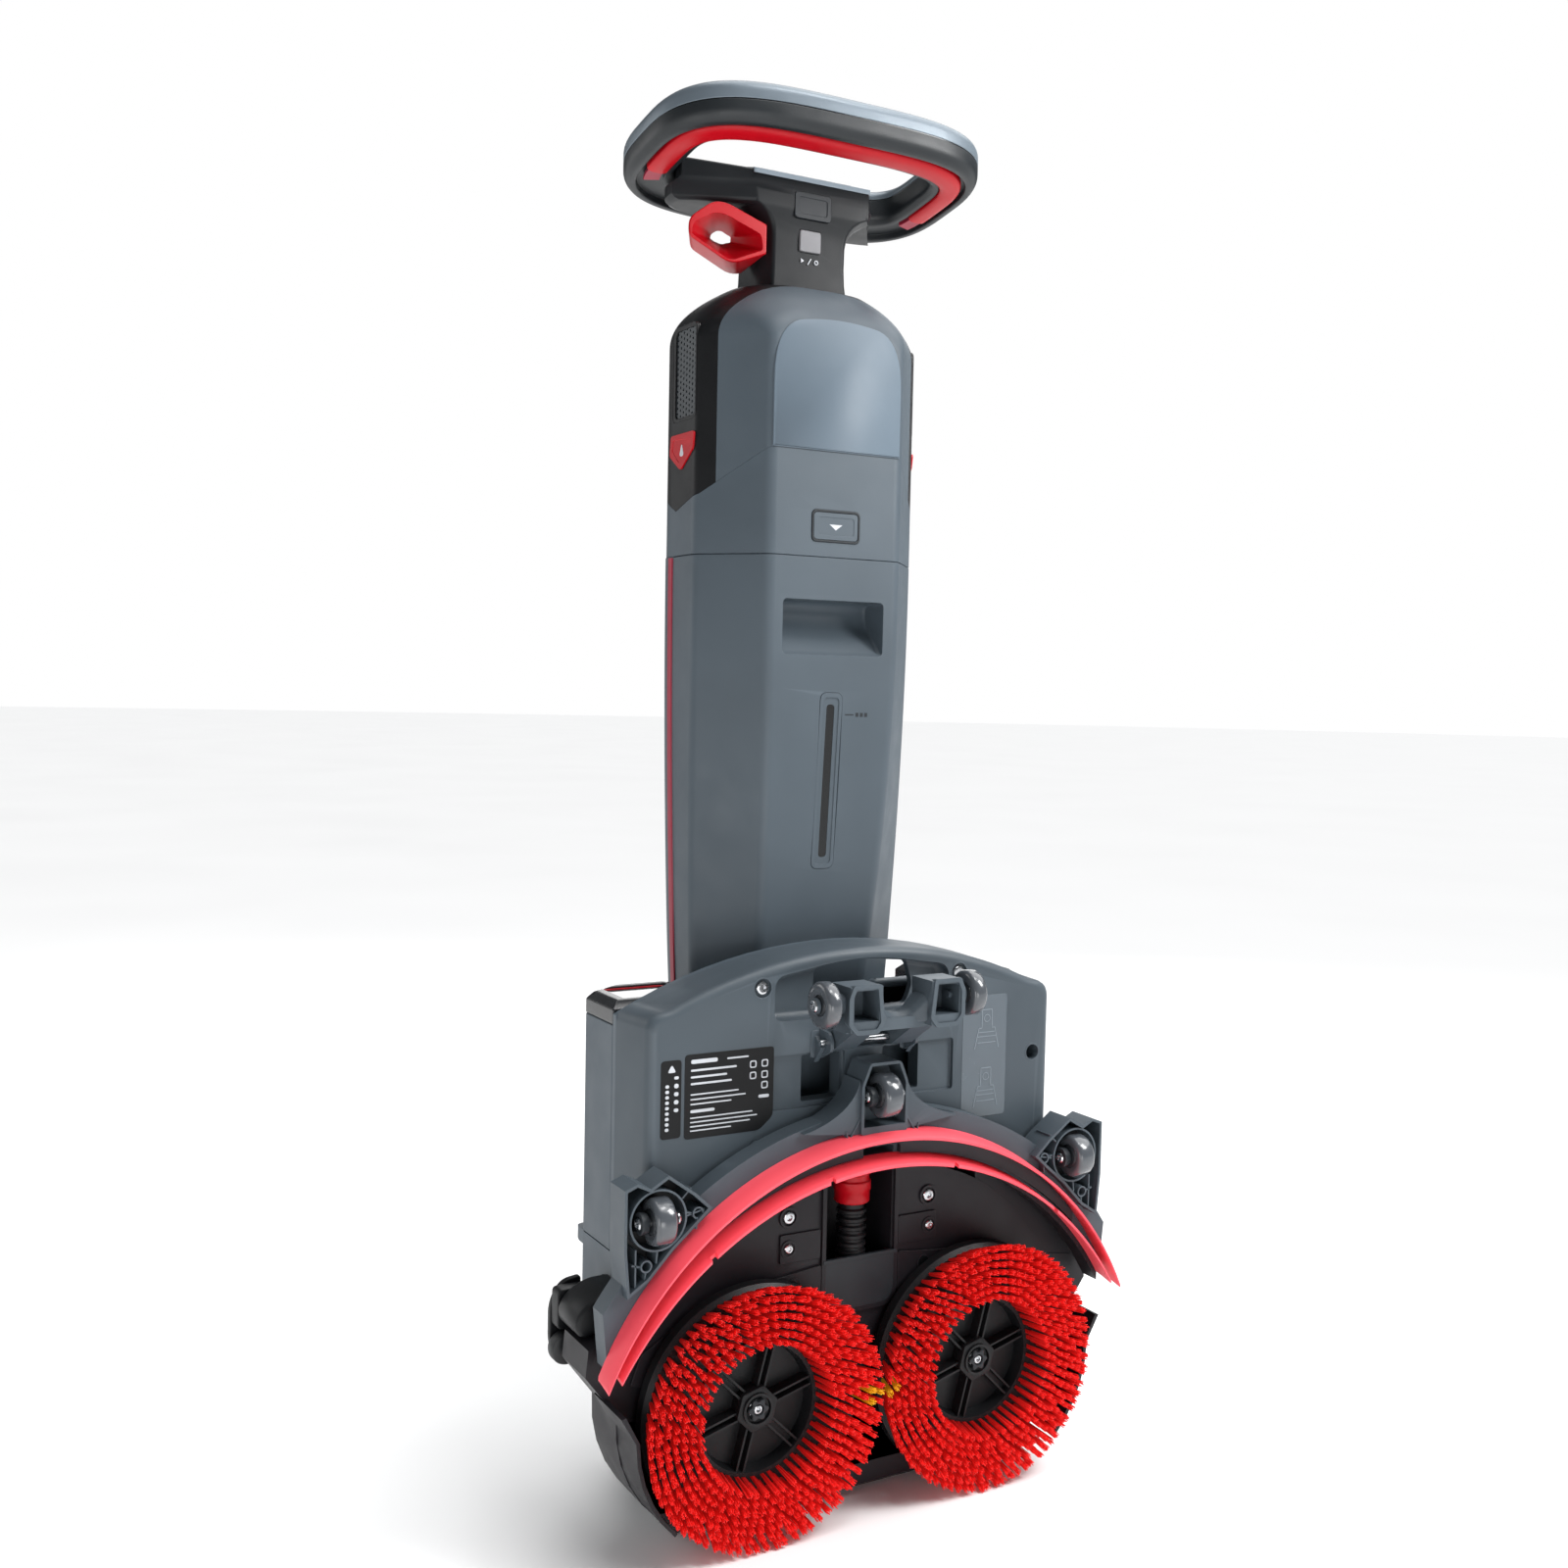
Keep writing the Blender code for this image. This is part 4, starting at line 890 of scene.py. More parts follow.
def cover_outline(inset, grow=1.0):
    """Underside outline with its two shoulders rounded."""
    half = COVER_HALF - inset
    rise = COVER_APEX - COVER_SIDE_TOP
    radius = (COVER_HALF ** 2 + rise ** 2) / (2 * rise)
    top = arc(COVER_APEX - radius, radius - inset, half, -half, 40)
    bottom = arc(FRONT_ARC_Z, 262 + inset, -half, half, 40)
    turn = 12.0
    top = [(x, z) for x, z in top if abs(x) < half - turn]
    first, last = top[0], top[-1]
    right = bezier((half, first[1] - turn * 1.15), (half, first[1] - 2.0), first)
    left = bezier(last, (-half, last[1] - 2.0), (-half, last[1] - turn * 1.15))
    line = bottom + right[:-1] + top + left[1:]
    return [(x * grow, z) for x, z in line]


def bezier(a, b, c, steps=6):
    a, b, c = Vector(a), Vector(b), Vector(c)
    return [tuple(a * (1 - t) ** 2 + b * (2 * t * (1 - t)) + c * t * t)
            for t in (i / steps for i in range(steps + 1))]


def window_outline(half, low=386.0, side_top=420.0, top=429.0):
    return rounded([(-half, low), (half, low), (half, side_top), (0, top + 4), (-half, side_top)],
                   [8, 8, 10, 60, 10], 6)


def make_base_cover():
    grow = BOX_HALF / COVER_HALF
    levels = [(7.0, 45.0, 1.0), (4.0, 45.5, 1.0), (1.6, 47.2, 1.0), (0.5, 49.6, 1.002), (0.0, 53.0, 1.004),
              (0.0, COVER_BACK, grow)]
    cover = skin([[Vector((x, y, z)) for x, z in cover_outline(inset, g)] for inset, y, g in levels])
    hollow = prism(cover_outline(4.0), "y", 62, COVER_BACK + 5)
    cut(cover, hollow)
    scoop = soften(prism(window_outline(80), "y", 30, 56.5), 6.0, 4, 40)
    through = prism(rounded([(-40, 389), (46, 389), (52, 404), (46, 424), (0, 428), (-40, 423)], 5, 5),
                    "y", 20, 110)
    tools = [scoop, through]
    for side in (-1, 1):
        shallow = rounded(rectangle(*span(side, 17, 86), 318, 360), 3, 4)
        tools.append(soften(prism(shallow, "y", 30, 48.2), 1.0, 2, 40))
        deep = rounded(rectangle(*span(side, 20, 54), 322, 358), 2, 4)
        tools.append(prism(deep, "y", 30, 70))
        tools.append(rod("y", side * COVER_SCREW[0], COVER_SCREW[1], 7.4, 30, 47.5))
        tools.append(rod("y", side * 95, 292, 5.5, 30, 70))
    tools.append(rod("y", *COVER_HOLE, 6.2, 30, 70))
    tools.append(block((-23, 30, 360), (23, 53, 372)))
    cut(cover, *tools)
    for side, tag in SIDES:
        lug = rounded([(28, 363), (47, 354), (47, 378), (31, 377), (27, 370)], 2.5, 4)
        cheek = prism(lug, "x", *span(side, 37.2, 40.4))
        brace = prism([(45.5, 352), (45.5, 374), (35, 365)], "x", *span(side, 40.2, 44.4))
        foot = prism(rounded([(side * 34, 356), (side * 48, 356), (side * 48, 377), (side * 34, 377)], 2,
                             3), "y", 44.2, 46)
        piece(gather(cheek, brace, foot), f"{tag}_pivot_lug", GREY_DEEP, "base", bevel=0.5)
    piece(cover, "underside_cover", GREY_DEEP, "base", ["base_cover"], 0.8, 2)
    pin = rod("x", 35, 369, 2.4, -45.5, 45.5, 20)
    piece(pin, "bracket_pivot_pin", STEEL, "base", bevel=0.4, segments=2)
    for side, tag in SIDES:
        piece(screw(side * COVER_SCREW[0], COVER_SCREW[1], 47.3, "y", 5.4, -1, 2.4), f"{tag}_cover_screw",
              STEEL, "base")
        piece(washer(side * COVER_SCREW[0], COVER_SCREW[1], 45.3, "y", 8.6, 7.2, -1, 0.5),
              f"{tag}_screw_seat", GREY_DEEP, "base")
    piece(washer(*COVER_HOLE, 45.3, "y", 7.6, 6.1, -1, 0.6), "cover_hole_rim", GREY_DEEP, "base")
    make_labels()


LABEL_LAYER = (44.6, 45.2)
PRINT_LAYER = (44.2, 44.55)
STICKER_PRINT = (44.5, 44.78)


def bar(x, z, width, height):
    """A printed bar with round ends, standing in for a line of text."""
    return prism(rounded(rectangle(x, x + width, z - height / 2, z + height / 2), height * 0.45, 2), "y",
                 *PRINT_LAYER)


def make_labels():
    """Generic rating plates: blocks and bars where a real machine has its data, no lettering."""
    plate = rounded([(-154.7, 305), (-92, 305), (-80, 315), (-80, 368), (-154.7, 368)], [3, 4, 4, 3, 3], 4)
    piece(prism(plate, "y", *LABEL_LAYER), "data_label", LABEL, "base", bevel=0.12, segments=1)
    tag = rounded(rectangle(-174, -157.5, 307, 365), 3, 4)
    piece(prism(tag, "y", *LABEL_LAYER), "seal_label", LABEL, "base", bevel=0.12, segments=1)
    rows = [(-150, 362.5, 22, 3.0), (-120, 362.5, 18, 1.2)]
    for i, width in enumerate((38, 30, 34)):
        rows.append((-150, 356.0 - 5.0 * i, width, 1.5))
    for i, width in enumerate((40, 46, 34)):
        rows.append((-150, 338.0 - 3.6 * i, width, 1.0))
    rows.append((-150, 325.5, 20, 2.2))
    for i, width in enumerate((52, 56, 50, 34)):
        rows.append((-150, 320.6 - 3.2 * i, width, 0.9))
    rows.append((-93, 331, 9, 2.4))
    bars = [bar(*row) for row in rows]
    for x, z in ((-98, 356), (-88, 356), (-98, 347.5), (-88, 347.5), (-88, 339.5)):
        ring = prism(rounded(rectangle(x - 2.8, x + 2.8, z - 2.8, z + 2.8), 1.6, 3), "y", *PRINT_LAYER)
        bars.append(cut(ring, prism(rounded(rectangle(x - 1.9, x + 1.9, z - 1.9, z + 1.9), 1.0, 3), "y",
                                    40, 50)))
    for z, height in ((352, 2.2), (346, 3.4), (340, 3.0), (334, 3.2), (328, 2.6)):
        bars.append(bar(-163.5, z, 3.6, height))
    bars.append(prism(rounded([(-169, 356), (-162, 356), (-165.5, 362)], 2, 3), "y", *PRINT_LAYER))
    for z in spread(314, 346, 8):
        bars.append(bar(-170.6, z, 3.0, 2.4))
    piece(gather(*bars), "label_marks", PRINT, "base")
    film = rounded(rectangle(95, 139, 292, 392), 3, 4)
    piece(prism(film, "y", 44.75, 45.2), "guide_sticker", STICKER, "base", bevel=0.1, segments=1)
    lines = []
    for low in (348, 300):
        corners = [(107, low), (111, low + 17), (114, low + 17), (114, low + 32), (124, low + 32),
                   (124, low + 17), (127, low + 17), (131, low)]
        lines += [rib(a, b, 0.7, *STICKER_PRINT) for a, b in zip(corners, corners[1:])]
        lines += [rib((110, low + d), (128, low + d), 0.6, *STICKER_PRINT) for d in (5, 10, 13.5)]
        lines.append(ring_wall(119, low + 25, 3.2, 2.6, *STICKER_PRINT, 24))
    piece(gather(*lines), "sticker_marks", PRINT_DIM, "base")


LOWER_SHELL_STEPS = ((3, 13), (0.8, 12), (0, 10), (0, 0.4))      # inset, drop below the CAD box
LOUVRES, LOUVRE_PITCH = 5, 14
LID_TOP = 398.4


def make_boxes():
    """The two side boxes with their louvres, lower shells and hinged lids."""
    for box, lid, lid_body, side in (("waste_tank", "waste_tank_lid", "waste_lid", -1),
                                     ("battery_case", "battery_lid", "battery_cover", 1)):
        shell = from_node(box)
        x0, x1 = span(side, 120, 178)
        for k in range(LOUVRES):
            z = 300 + LOUVRE_PITCH * k
            cut(shell, prism(rounded(rectangle(x0 + 8, x1 - 18, z, z + 5), 2.4, 4), "y", 166.5, 180))
        piece(shell, f"{box}_shell", GREY, "base", [box], 1.6, 3)
        low, high = box_mm(box)
        foot = rounded(rectangle(low.x + 1, high.x - 1, 101.5, high.y - 1.5), 8, 5)
        lower_shell = stepped(foot, "z", [(inset, low.z - drop) for inset, drop in LOWER_SHELL_STEPS])
        piece(lower_shell, f"{box}_lower_shell", GREY, "base", smooth=40)
        cover = from_node(lid)
        piece(cover, f"{lid}_shell", LID_BLACK, lid_body, [lid], 1.2, 3)
        well = rounded(rectangle(x0 + 1.2, x1 - 3.2, 109.2, 154.8), 4, 4)
        piece(prism(well, "z", LID_TOP - 0.8, LID_TOP + 0.2), f"{lid}_inlay", SCREEN, lid_body, bevel=0.3)
        gasket = prism(rounded(rectangle(x0 + 0.4, x1 - 2.4, 108.4, 155.6), 4.5, 4), "z", LID_TOP, LID_TOP
                       + 0.8)
        cut(gasket, prism(rounded(rectangle(x0 + 2.0, x1 - 4.0, 110.0, 154.0), 3.5, 4), "z", 390, 405))
        piece(gasket, f"{lid}_gasket", RED, lid_body, bevel=0.2)
        hinge = rod("x", 168.6, 384.5, 2.6, *span(side, 130, 158), 20)
        piece(hinge, f"{lid}_hinge", BLACK, lid_body, bevel=0.4, segments=2, slot="gloss_black")


def make_service_cap():
    """The covered plug that shows through the underside's window."""
    outline = rounded(rectangle(42, 98, 97, 109), 5, 5)
    piece(stepped(outline, "z", ((3, 370), (0, 374), (0, 393), (1, 394))), "service_plug", BLACK, "base",
          smooth=40)
    cap = stepped(outline, "z", ((0.8, 394.3), (0, 395.5), (0, 398), (2, 400.4), (5, 401)))
    piece(cap, "service_plug_cap", GREY_LIGHT, "base", smooth=40)


def make_chassis():
    piece(from_node("chassis"), "chassis_shell", GREY, "base", ["chassis"], 0.9, 2)
    for side, tag in SIDES:
        cap = turned([(0.5, 0), (11, 0), (11, 1.6), (9.5, 2.6), (0.5, 2.6)], "x", (side * 76.2, 190, 250))
        piece(cap, f"{tag}_tilt_cap", DARK, "base", bevel=0.3)


def ring_wall(u, v, outer, inner, low, high, steps=40):
    centre = solid_point("y", u, v, 0)
    return turned([(inner, low), (outer, low), (outer, high), (inner, high)], "y", centre, steps)


def rib(start, end, thick, low, high):
    """A thin wall between two points (x, z) of the underside."""
    a, b = Vector(start), Vector(end)
    side = Vector((-(b - a).y, (b - a).x)).normalized() * thick / 2
    return prism([tuple(a + side), tuple(b + side), tuple(b - side), tuple(a - side)], "y", low, high)


def make_deck():
    deck = from_node("brush_deck")
    piece(deck, "deck_shell", DECK_BLACK, "base", ["brush_deck"], 1.2, 3)
    for side, tag in SIDES:
        band = [(side * 35.5, 193), (side * 92, 186.5), (side * 150, 172), (side * 188, 150),
                (side * 196, 128), (side * 150, 120), (side * 60, 150), (side * 35.5, 140)]
        piece(prism(rounded(band, 2, 3), "y", 42.2, 46), f"{tag}_deck_band", DECK_BLACK, "base",
              bevel=1.0)
        shoulder = [(x, z) for x, z in arc(FRONT_ARC_Z, 260.5, 112, 213, 16)]
        shoulder += [(226, 150), (190, 160), (150, 205), (112, 226)]
        shoulder = handed(-side, shoulder)
        piece(prism(shoulder, "y", 45.6, 59.4), f"{tag}_deck_shoulder", DECK_BLACK, "base", bevel=0.8)
        plate = rounded(rectangle(*span(side, 36, 72), 198.5, 221), 1.5, 3)
        piece(prism(plate, "y", 43.2, 46), f"{tag}_deck_plate", DECK_BLACK, "base", bevel=0.6)
        piece(washer(side * 64.5, 234, 45.0, "y", 8.4, 6.0, -1, 1.8), f"{tag}_boss_ring", DECK_BLACK, "base")
        piece(screw(side * 64.5, 234, 45.4, "y", 5.2, -1, 2.6), f"{tag}_deck_screw", STEEL, "base")
        recess = ring_wall(side * 65, 210, 6.6, 5.2, 42.2, 43.6)
        piece(recess, f"{tag}_small_screw_seat", DECK_BLACK, "base")
        piece(screw(side * 65, 210, 42.8, "y", 3.6, -1, 1.4), f"{tag}_small_screw", STEEL, "base")
        # Painted shade: the hole is a near-black disc that stands for the dark inside of the hole.
        hole = rod("y", side * 60, 180.5, 5.2, 41.9, 42.4, 28)
        piece(hole, f"{tag}_deck_hole", SLIT_AND_PAINTED_SHADE, "base")
        rim = ring_wall(side * 60, 180.5, 6.2, 5.1, 41.6, 42.9)
        piece(rim, f"{tag}_deck_hole_rim", DECK_BLACK, "base")
    sleeve = rounded([(-35, 285), (-35, 151), (35, 151), (35, 285)], [1, 17, 17, 1], 8)
    inner = rounded([(-31.5, 290), (-31.5, 154.5), (31.5, 154.5), (31.5, 290)], [1, 14, 14, 1], 8)
    wall = cut(prism([(x, min(z, 262)) for x, z in sleeve], "y", 42.3, 60), prism(inner, "y", 30, 80))
    piece(wall, "hose_channel_wall", DECK_BLACK, "base", bevel=0.5, segments=2)
    cup = rounded([(-34, 195), (-34, 151.5), (34, 151.5), (34, 195)], [2, 17, 17, 2], 8)
    lip = rounded(rectangle(-34, 34, 192.5, 195.6), 0.8, 2)
    piece(gather(prism(cup, "y", 42.4, 44.4), prism(lip, "y", 41.6, 44.9)), "hose_cup", DARK, "base",
          bevel=0.4, segments=2, slot="black_plastic")
    cover = from_node("deck_cover")
    piece(cover, "deck_back_cover", BLACK, "base", ["deck_cover"], 4.0, 4)
    make_motor_vent()


MOTOR_FACE = 198.0


def make_motor_vent():
    """Slotted plate over a near-black sheet of painted shade for the dark inside of the vent, and four screws,
    on the back of the motor cover.
    """
    plate = prism(rounded(rectangle(-52, 52, 28, 100), 6, 5), "y", MOTOR_FACE + 0.4, MOTOR_FACE + 2.8)
    for k in range(7):
        low = 33 + 9 * k
        cut(plate, prism(rounded(rectangle(-44, 44, low, low + 4.4), 2.1, 4), "y", 190, 205))
    piece(plate, "motor_vent_plate", DARK, "base", bevel=0.5, segments=2)
    # Painted shade: a near-black sheet behind the slots stands for the dark inside of the vent.
    backing = prism(rounded(rectangle(-49, 49, 31, 97), 4, 4), "y", MOTOR_FACE + 0.05, MOTOR_FACE + 0.3)
    piece(backing, "motor_vent_painted_shade", SLIT_AND_PAINTED_SHADE, "base")
    for level, half_x, z in (("low", 88, 26), ("high", 96, 98)):
        for side, tag in SIDES:
            piece(screw(side * half_x, z, MOTOR_FACE + 0.2, "y", 4.4, 1, 1.8),
                  f"{tag}_{level}_motor_cover_screw", STEEL, "base")


HOSE_Y = 57
HOSE_PITCH = 6.6
HOSE_RINGS = 12


def make_hose():
    """Corrugated suction hose and the red cuff that joins it to the squeegee."""
    profile = [(9.2, 152.4)]
    for i in range(HOSE_RINGS):
        z = 153.2 + HOSE_PITCH * i
        profile += [(10.2, z), (11.9, z + 1.3), (11.9, z + 3.5), (10.2, z + 4.9)]
    profile += [(10.2, 234.0), (9.2, 234.6)]
    hose = turned(profile, "z", (0, HOSE_Y, 0), 40)
    piece(hose, "corrugated_hose", BLACK, "base", ["suction_hose"], smooth=50)
    cuff = turned([(9.0, 235), (13.2, 235), (14.2, 236), (14.2, 244), (15, 245), (15, 252), (13.6, 253.2),
                   (13.6, 257), (15, 258), (15, 270.2), (14.2, 271.1), (9.0, 271.1)], "z", (0, HOSE_Y, 0),
                  48)
    piece(cuff, "red_hose_cuff", RED, "squeegee", ["hose_cuff"], smooth=40)


def make_bumper(side, tag):
    """Rounded corner guard with the fork that holds its wall roller."""
    corners = [(-191.5, 168.6), (-227, 162), (-232, 172), (-227, 184), (-210, 194), (-191.5, 194)]
    turns = [1, 5, 9, 10, 12, 1]
    outline = rounded(handed(side, corners), turns if side < 0 else turns[::-1], 6)
    guard = stepped(outline, "y", ((3.0, 60), (1.0, 61), (0, 64), (0, 96), (1.2, 99), (3, 100)))
    piece(guard, f"{tag}_corner_guard", BLACK, "base", [f"{tag}_bumper"], smooth=50, slot="grey_plastic")
    fork = rounded([(-206, 128), (-221, 127), (-231, 138), (-231, 172), (-222, 188), (-206, 190)],
                   [3, 8, 10, 8, 8, 3], 5)
    fork = handed(side, fork)
    web = rounded(rectangle(*span(side, 206, 230), 156, 186), 4, 4)
    piece(gather(prism(fork, "y", 112.6, 118), prism(web, "y", 99.4, 112.4)), f"{tag}_roller_fork", BLACK,
          "base", bevel=1.2, slot="grey_plastic")
    low, high = box_mm(f"{tag}_bumper_roller")
    centre = (low + high) / 2
    tyre = [(4, 99), (9.6, 99), (11.4, 99.8), (12, 101.6), (12, 108.4), (11.4, 110.2), (9.6, 111), (4, 111)]
    wheel = turned(tyre, "y", (centre.x, 0, centre.z), 40)
    piece(wheel, f"{tag}_corner_wheel", TYRE_BLACK, f"{tag}_guide_roller", [f"{tag}_bumper_roller"])
    hub = turned([(0.5, 97.6), (3.6, 97.6), (4.2, 98.6), (4.2, 111.4), (0.5, 111.4)], "y",
                 (centre.x, 0, centre.z), 24)
    piece(hub, f"{tag}_corner_hub", STEEL, f"{tag}_guide_roller")


# ---------------------------------------------------------------- brushes

BRUSH_X = 101.0
BRUSH_Z = 100.6
TUFT_PITCH = 7.6
FILAMENTS = 26
BRUSH_REACH = 101.5
SPOKE_TURN = 0.26


def tuft_places():
    """(angle, tip radius) of each tuft, in staggered rings."""
    places = []
    for row, radius in enumerate(spread(56.5, 97.0, 6)):
        count = round(2 * pi * radius / TUFT_PITCH)
        for i in range(count):
            places.append((2 * pi * (i + 0.5 * (row % 2)) / count, radius))
    return places


def tuft_mesh(name, places, side, seed):
    """Bundles of tapered three-sided filaments that splay towards their tips."""
    rng = random.Random(seed)
    verts, faces = [], []
    centre_x = side * BRUSH_X
    for angle, radius in places:
        root_radius = 50 + (radius - 54) * 41 / 46
        lean = rng.uniform(-0.02, 0.02)
        out = Vector((cos(angle + lean), 0, sin(angle + lean)))
        across = Vector((-out.z, 0, out.x))
        wild = radius > 90
        for _ in range(FILAMENTS):
            turn, reach = rng.uniform(0, 2 * pi), sqrt(rng.random())
            shift = out * cos(turn) + across * sin(turn)
            foot = out * root_radius + shift * reach * 1.2 + Vector((centre_x, 26.5, BRUSH_Z))
            splay = reach * rng.uniform(1.9, 3.4 if wild else 2.8)
            tip = out * radius + shift * splay + Vector((centre_x, rng.uniform(0.1, 2.6), BRUSH_Z))
            limit = tip - Vector((centre_x, tip.y, BRUSH_Z))
            if limit.length > BRUSH_REACH:
                tip = Vector((centre_x, tip.y, BRUSH_Z)) + limit.normalized() * BRUSH_REACH
            start = len(verts)
            spin = rng.uniform(0, 2 * pi)
            for point, thick in ((foot, 0.36), (tip, 0.38)):
                for k in range(3):
                    a = spin + 2 * pi * k / 3
                    verts.append(point + (out * cos(a) + across * sin(a)) * thick)
            for k in range(3):
                m = (k + 1) % 3
                faces.append((start + k, start + m, start + 3 + m, start + 3 + k))
            faces.append((start + 3, start + 4, start + 5))
            faces.append((start + 2, start + 1, start))
    mesh = bpy.data.meshes.new(name)
    mesh.from_pydata([tuple(v) for v in verts], [], faces)
    mesh.update()
    return link_mesh(name, mesh)


def make_brush(side, tag):
    body = f"{tag}_brush"
    facing = 0.0 if side < 0 else pi
    every = tuft_places()
    marked = [p for p in every if p[1] > 88 and abs((p[0] - facing + pi) % (2 * pi) - pi) < 0.05]
    plain = [p for p in every if p not in marked]
    tufts = tuft_mesh("work", plain, side, 11 + side)
    piece(tufts, f"{tag}_bristle_tufts", BRISTLE, body, [f"{tag}_brush_bristles"], smooth=60)
    wear = tuft_mesh("work", marked, side, 31 + side)
    piece(wear, f"{tag}_wear_tufts", YELLOW, body, smooth=60)
    x = side * BRUSH_X
    plate = turned([(7.6, 34), (46.5, 34), (48.5, 23.5), (51.5, 23.5), (52, 26), (89, 26), (92.6, 29),
                    (92.9, 37), (86, 41.8), (7.6, 41.8)], "y", (x, 0, BRUSH_Z), 96)
    parts = [plate]
    for k in range(6):
        angle = 2 * pi * k / 6 + SPOKE_TURN
        out = Vector((cos(angle), sin(angle)))
        across = Vector((-out.y, out.x))
        for gap, thick, front in ((-3.0, 1.6, 24.5), (3.0, 1.6, 24.5), (0.0, 5.0, 31.0)):
            a = Vector((x, BRUSH_Z)) + out * 13 + across * gap
            b = Vector((x, BRUSH_Z)) + out * 49 + across * gap
            parts.append(rib(a, b, thick, front, 34.5))
    hexagon = [(x + 18 * cos(pi * k / 3 + SPOKE_TURN), BRUSH_Z + 18 * sin(pi * k / 3 + SPOKE_TURN))
               for k in range(6)]
    boss = cut(prism(rounded(hexagon, 2, 3), "y", 21.5, 34.4), rod("y", x, BRUSH_Z, 10.5, 10, 23.2))
    parts.append(soften(boss, 0.7, 2))
    parts.append(ring_wall(x, BRUSH_Z, 12.4, 10.6, 20.0, 24))
    piece(gather(*parts), f"{tag}_brush_hub", BLACK, body, [f"{tag}_brush_disc"], smooth=30)
    shaft = rod("y", x, BRUSH_Z, 6.9, 23, 90.4, 32)
    lobes = [(7.4 + 1.3 * cos(6 * a)) for a in (2 * pi * i / 48 for i in range(48))]
    star = [(x + r * cos(2 * pi * i / 48), BRUSH_Z + r * sin(2 * pi * i / 48)) for i, r in enumerate(lobes)]
    nut = soften(cut(prism(star, "y", 19.6, 23.3), rod("y", x, BRUSH_Z, 4.2, 15, 25)), 0.5, 2)
    piece(nut, f"{tag}_lobed_nut", DARK, body, slot="black_plastic")
    piece(shaft, f"{tag}_shaft", STEEL, body, [f"{tag}_drive_shaft"], 0.4, 2)
    piece(screw(x, BRUSH_Z, 22.8, "y", 3.9, -1, 2.6), f"{tag}_shaft_bolt", STEEL, body)


# ---------------------------------------------------------------- squeegee

def blade(name, node, centre_z, radius, half, notches):
    """Moulded strip with a thicker root, rounded wiping lips and its small drain notches."""
    def ring(x):
        z = centre_z + sqrt(radius * radius - x * x)
        return [Vector((x, y, z + shift)) for y, shift in (
            (0.1, 0.5), (0.1, 2.5), (0.7, 3.0), (13, 5.6), (19.6, 7.0), (19.6, 4.0), (12, 2.6), (0.7, 0.0))]
    strip = skin([ring(x) for x in spread(-half, half, 96)])
    for x in notches:
        z = centre_z + sqrt(radius * radius - x * x)
        cut(strip, prism(rounded(rectangle(x - 2.2, x + 2.2, z - 4, z + 9), 1, 2), "y", -3, 4.5))
    piece(strip, name, BLADE_RED, "squeegee", [node], smooth=30)


def wheel(tag, centre, half, radius, body, nodes, hub_radius):
    """A tyre with rounded shoulders and a stepped hub."""
    tyre = [(hub_radius, -half + 1.0), (hub_radius + 2.5, -half), (radius - 3.0, -half),
            (radius - 1.0, -half + 0.9), (radius, -half + 2.8), (radius, half - 2.8),
            (radius - 1.0, half - 0.9), (radius - 3.0, half), (hub_radius + 2.5, half),
            (hub_radius, half - 1.0)]
    piece(turned(tyre, "x", centre, 64), f"{tag}_tyre", WHEEL, body, nodes, smooth=40)
    hub = [(3.2, -half + 0.4), (hub_radius - 1.5, -half + 0.4), (hub_radius - 0.1, -half + 1.6),
           (hub_radius - 0.1, half - 1.6), (hub_radius - 1.5, half - 0.4), (3.2, half - 0.4)]
    piece(turned(hub, "x", centre, 40), f"{tag}_hub", DARK, body, smooth=30)


def axle_bolt(name, centre, low, high, body, radius=3.4, head=4.6):
    shaft = rod("x", centre[1], centre[2], radius, low + 1, high - 1, 24)
    parts = [shaft, screw(centre[1], centre[2], low + 1.2, "x", head, -1, 2.4),
             screw(centre[1], centre[2], high - 1.2, "x", head, 1, 2.4)]
    piece(gather(*parts), name, STEEL, body, smooth=30)


POCKET = [(-216, 240), (-213, 206), (-196, 217), (-178, 236), (-158, 253), (-147, 263), (-160, 275),
          (-182, 291), (-196, 283), (-206, 288), (-216, 284)]
POCKET_RIBS = ((170, 272, 163, 279), (189, 237, 190, 228), (152, 262, 166, 259), (206, 210, 206, 240))
ROLLER_AT = (189.0, 13.0, 259.0)
MIDDLE_AT = (0.0, 13.0, 329.5)


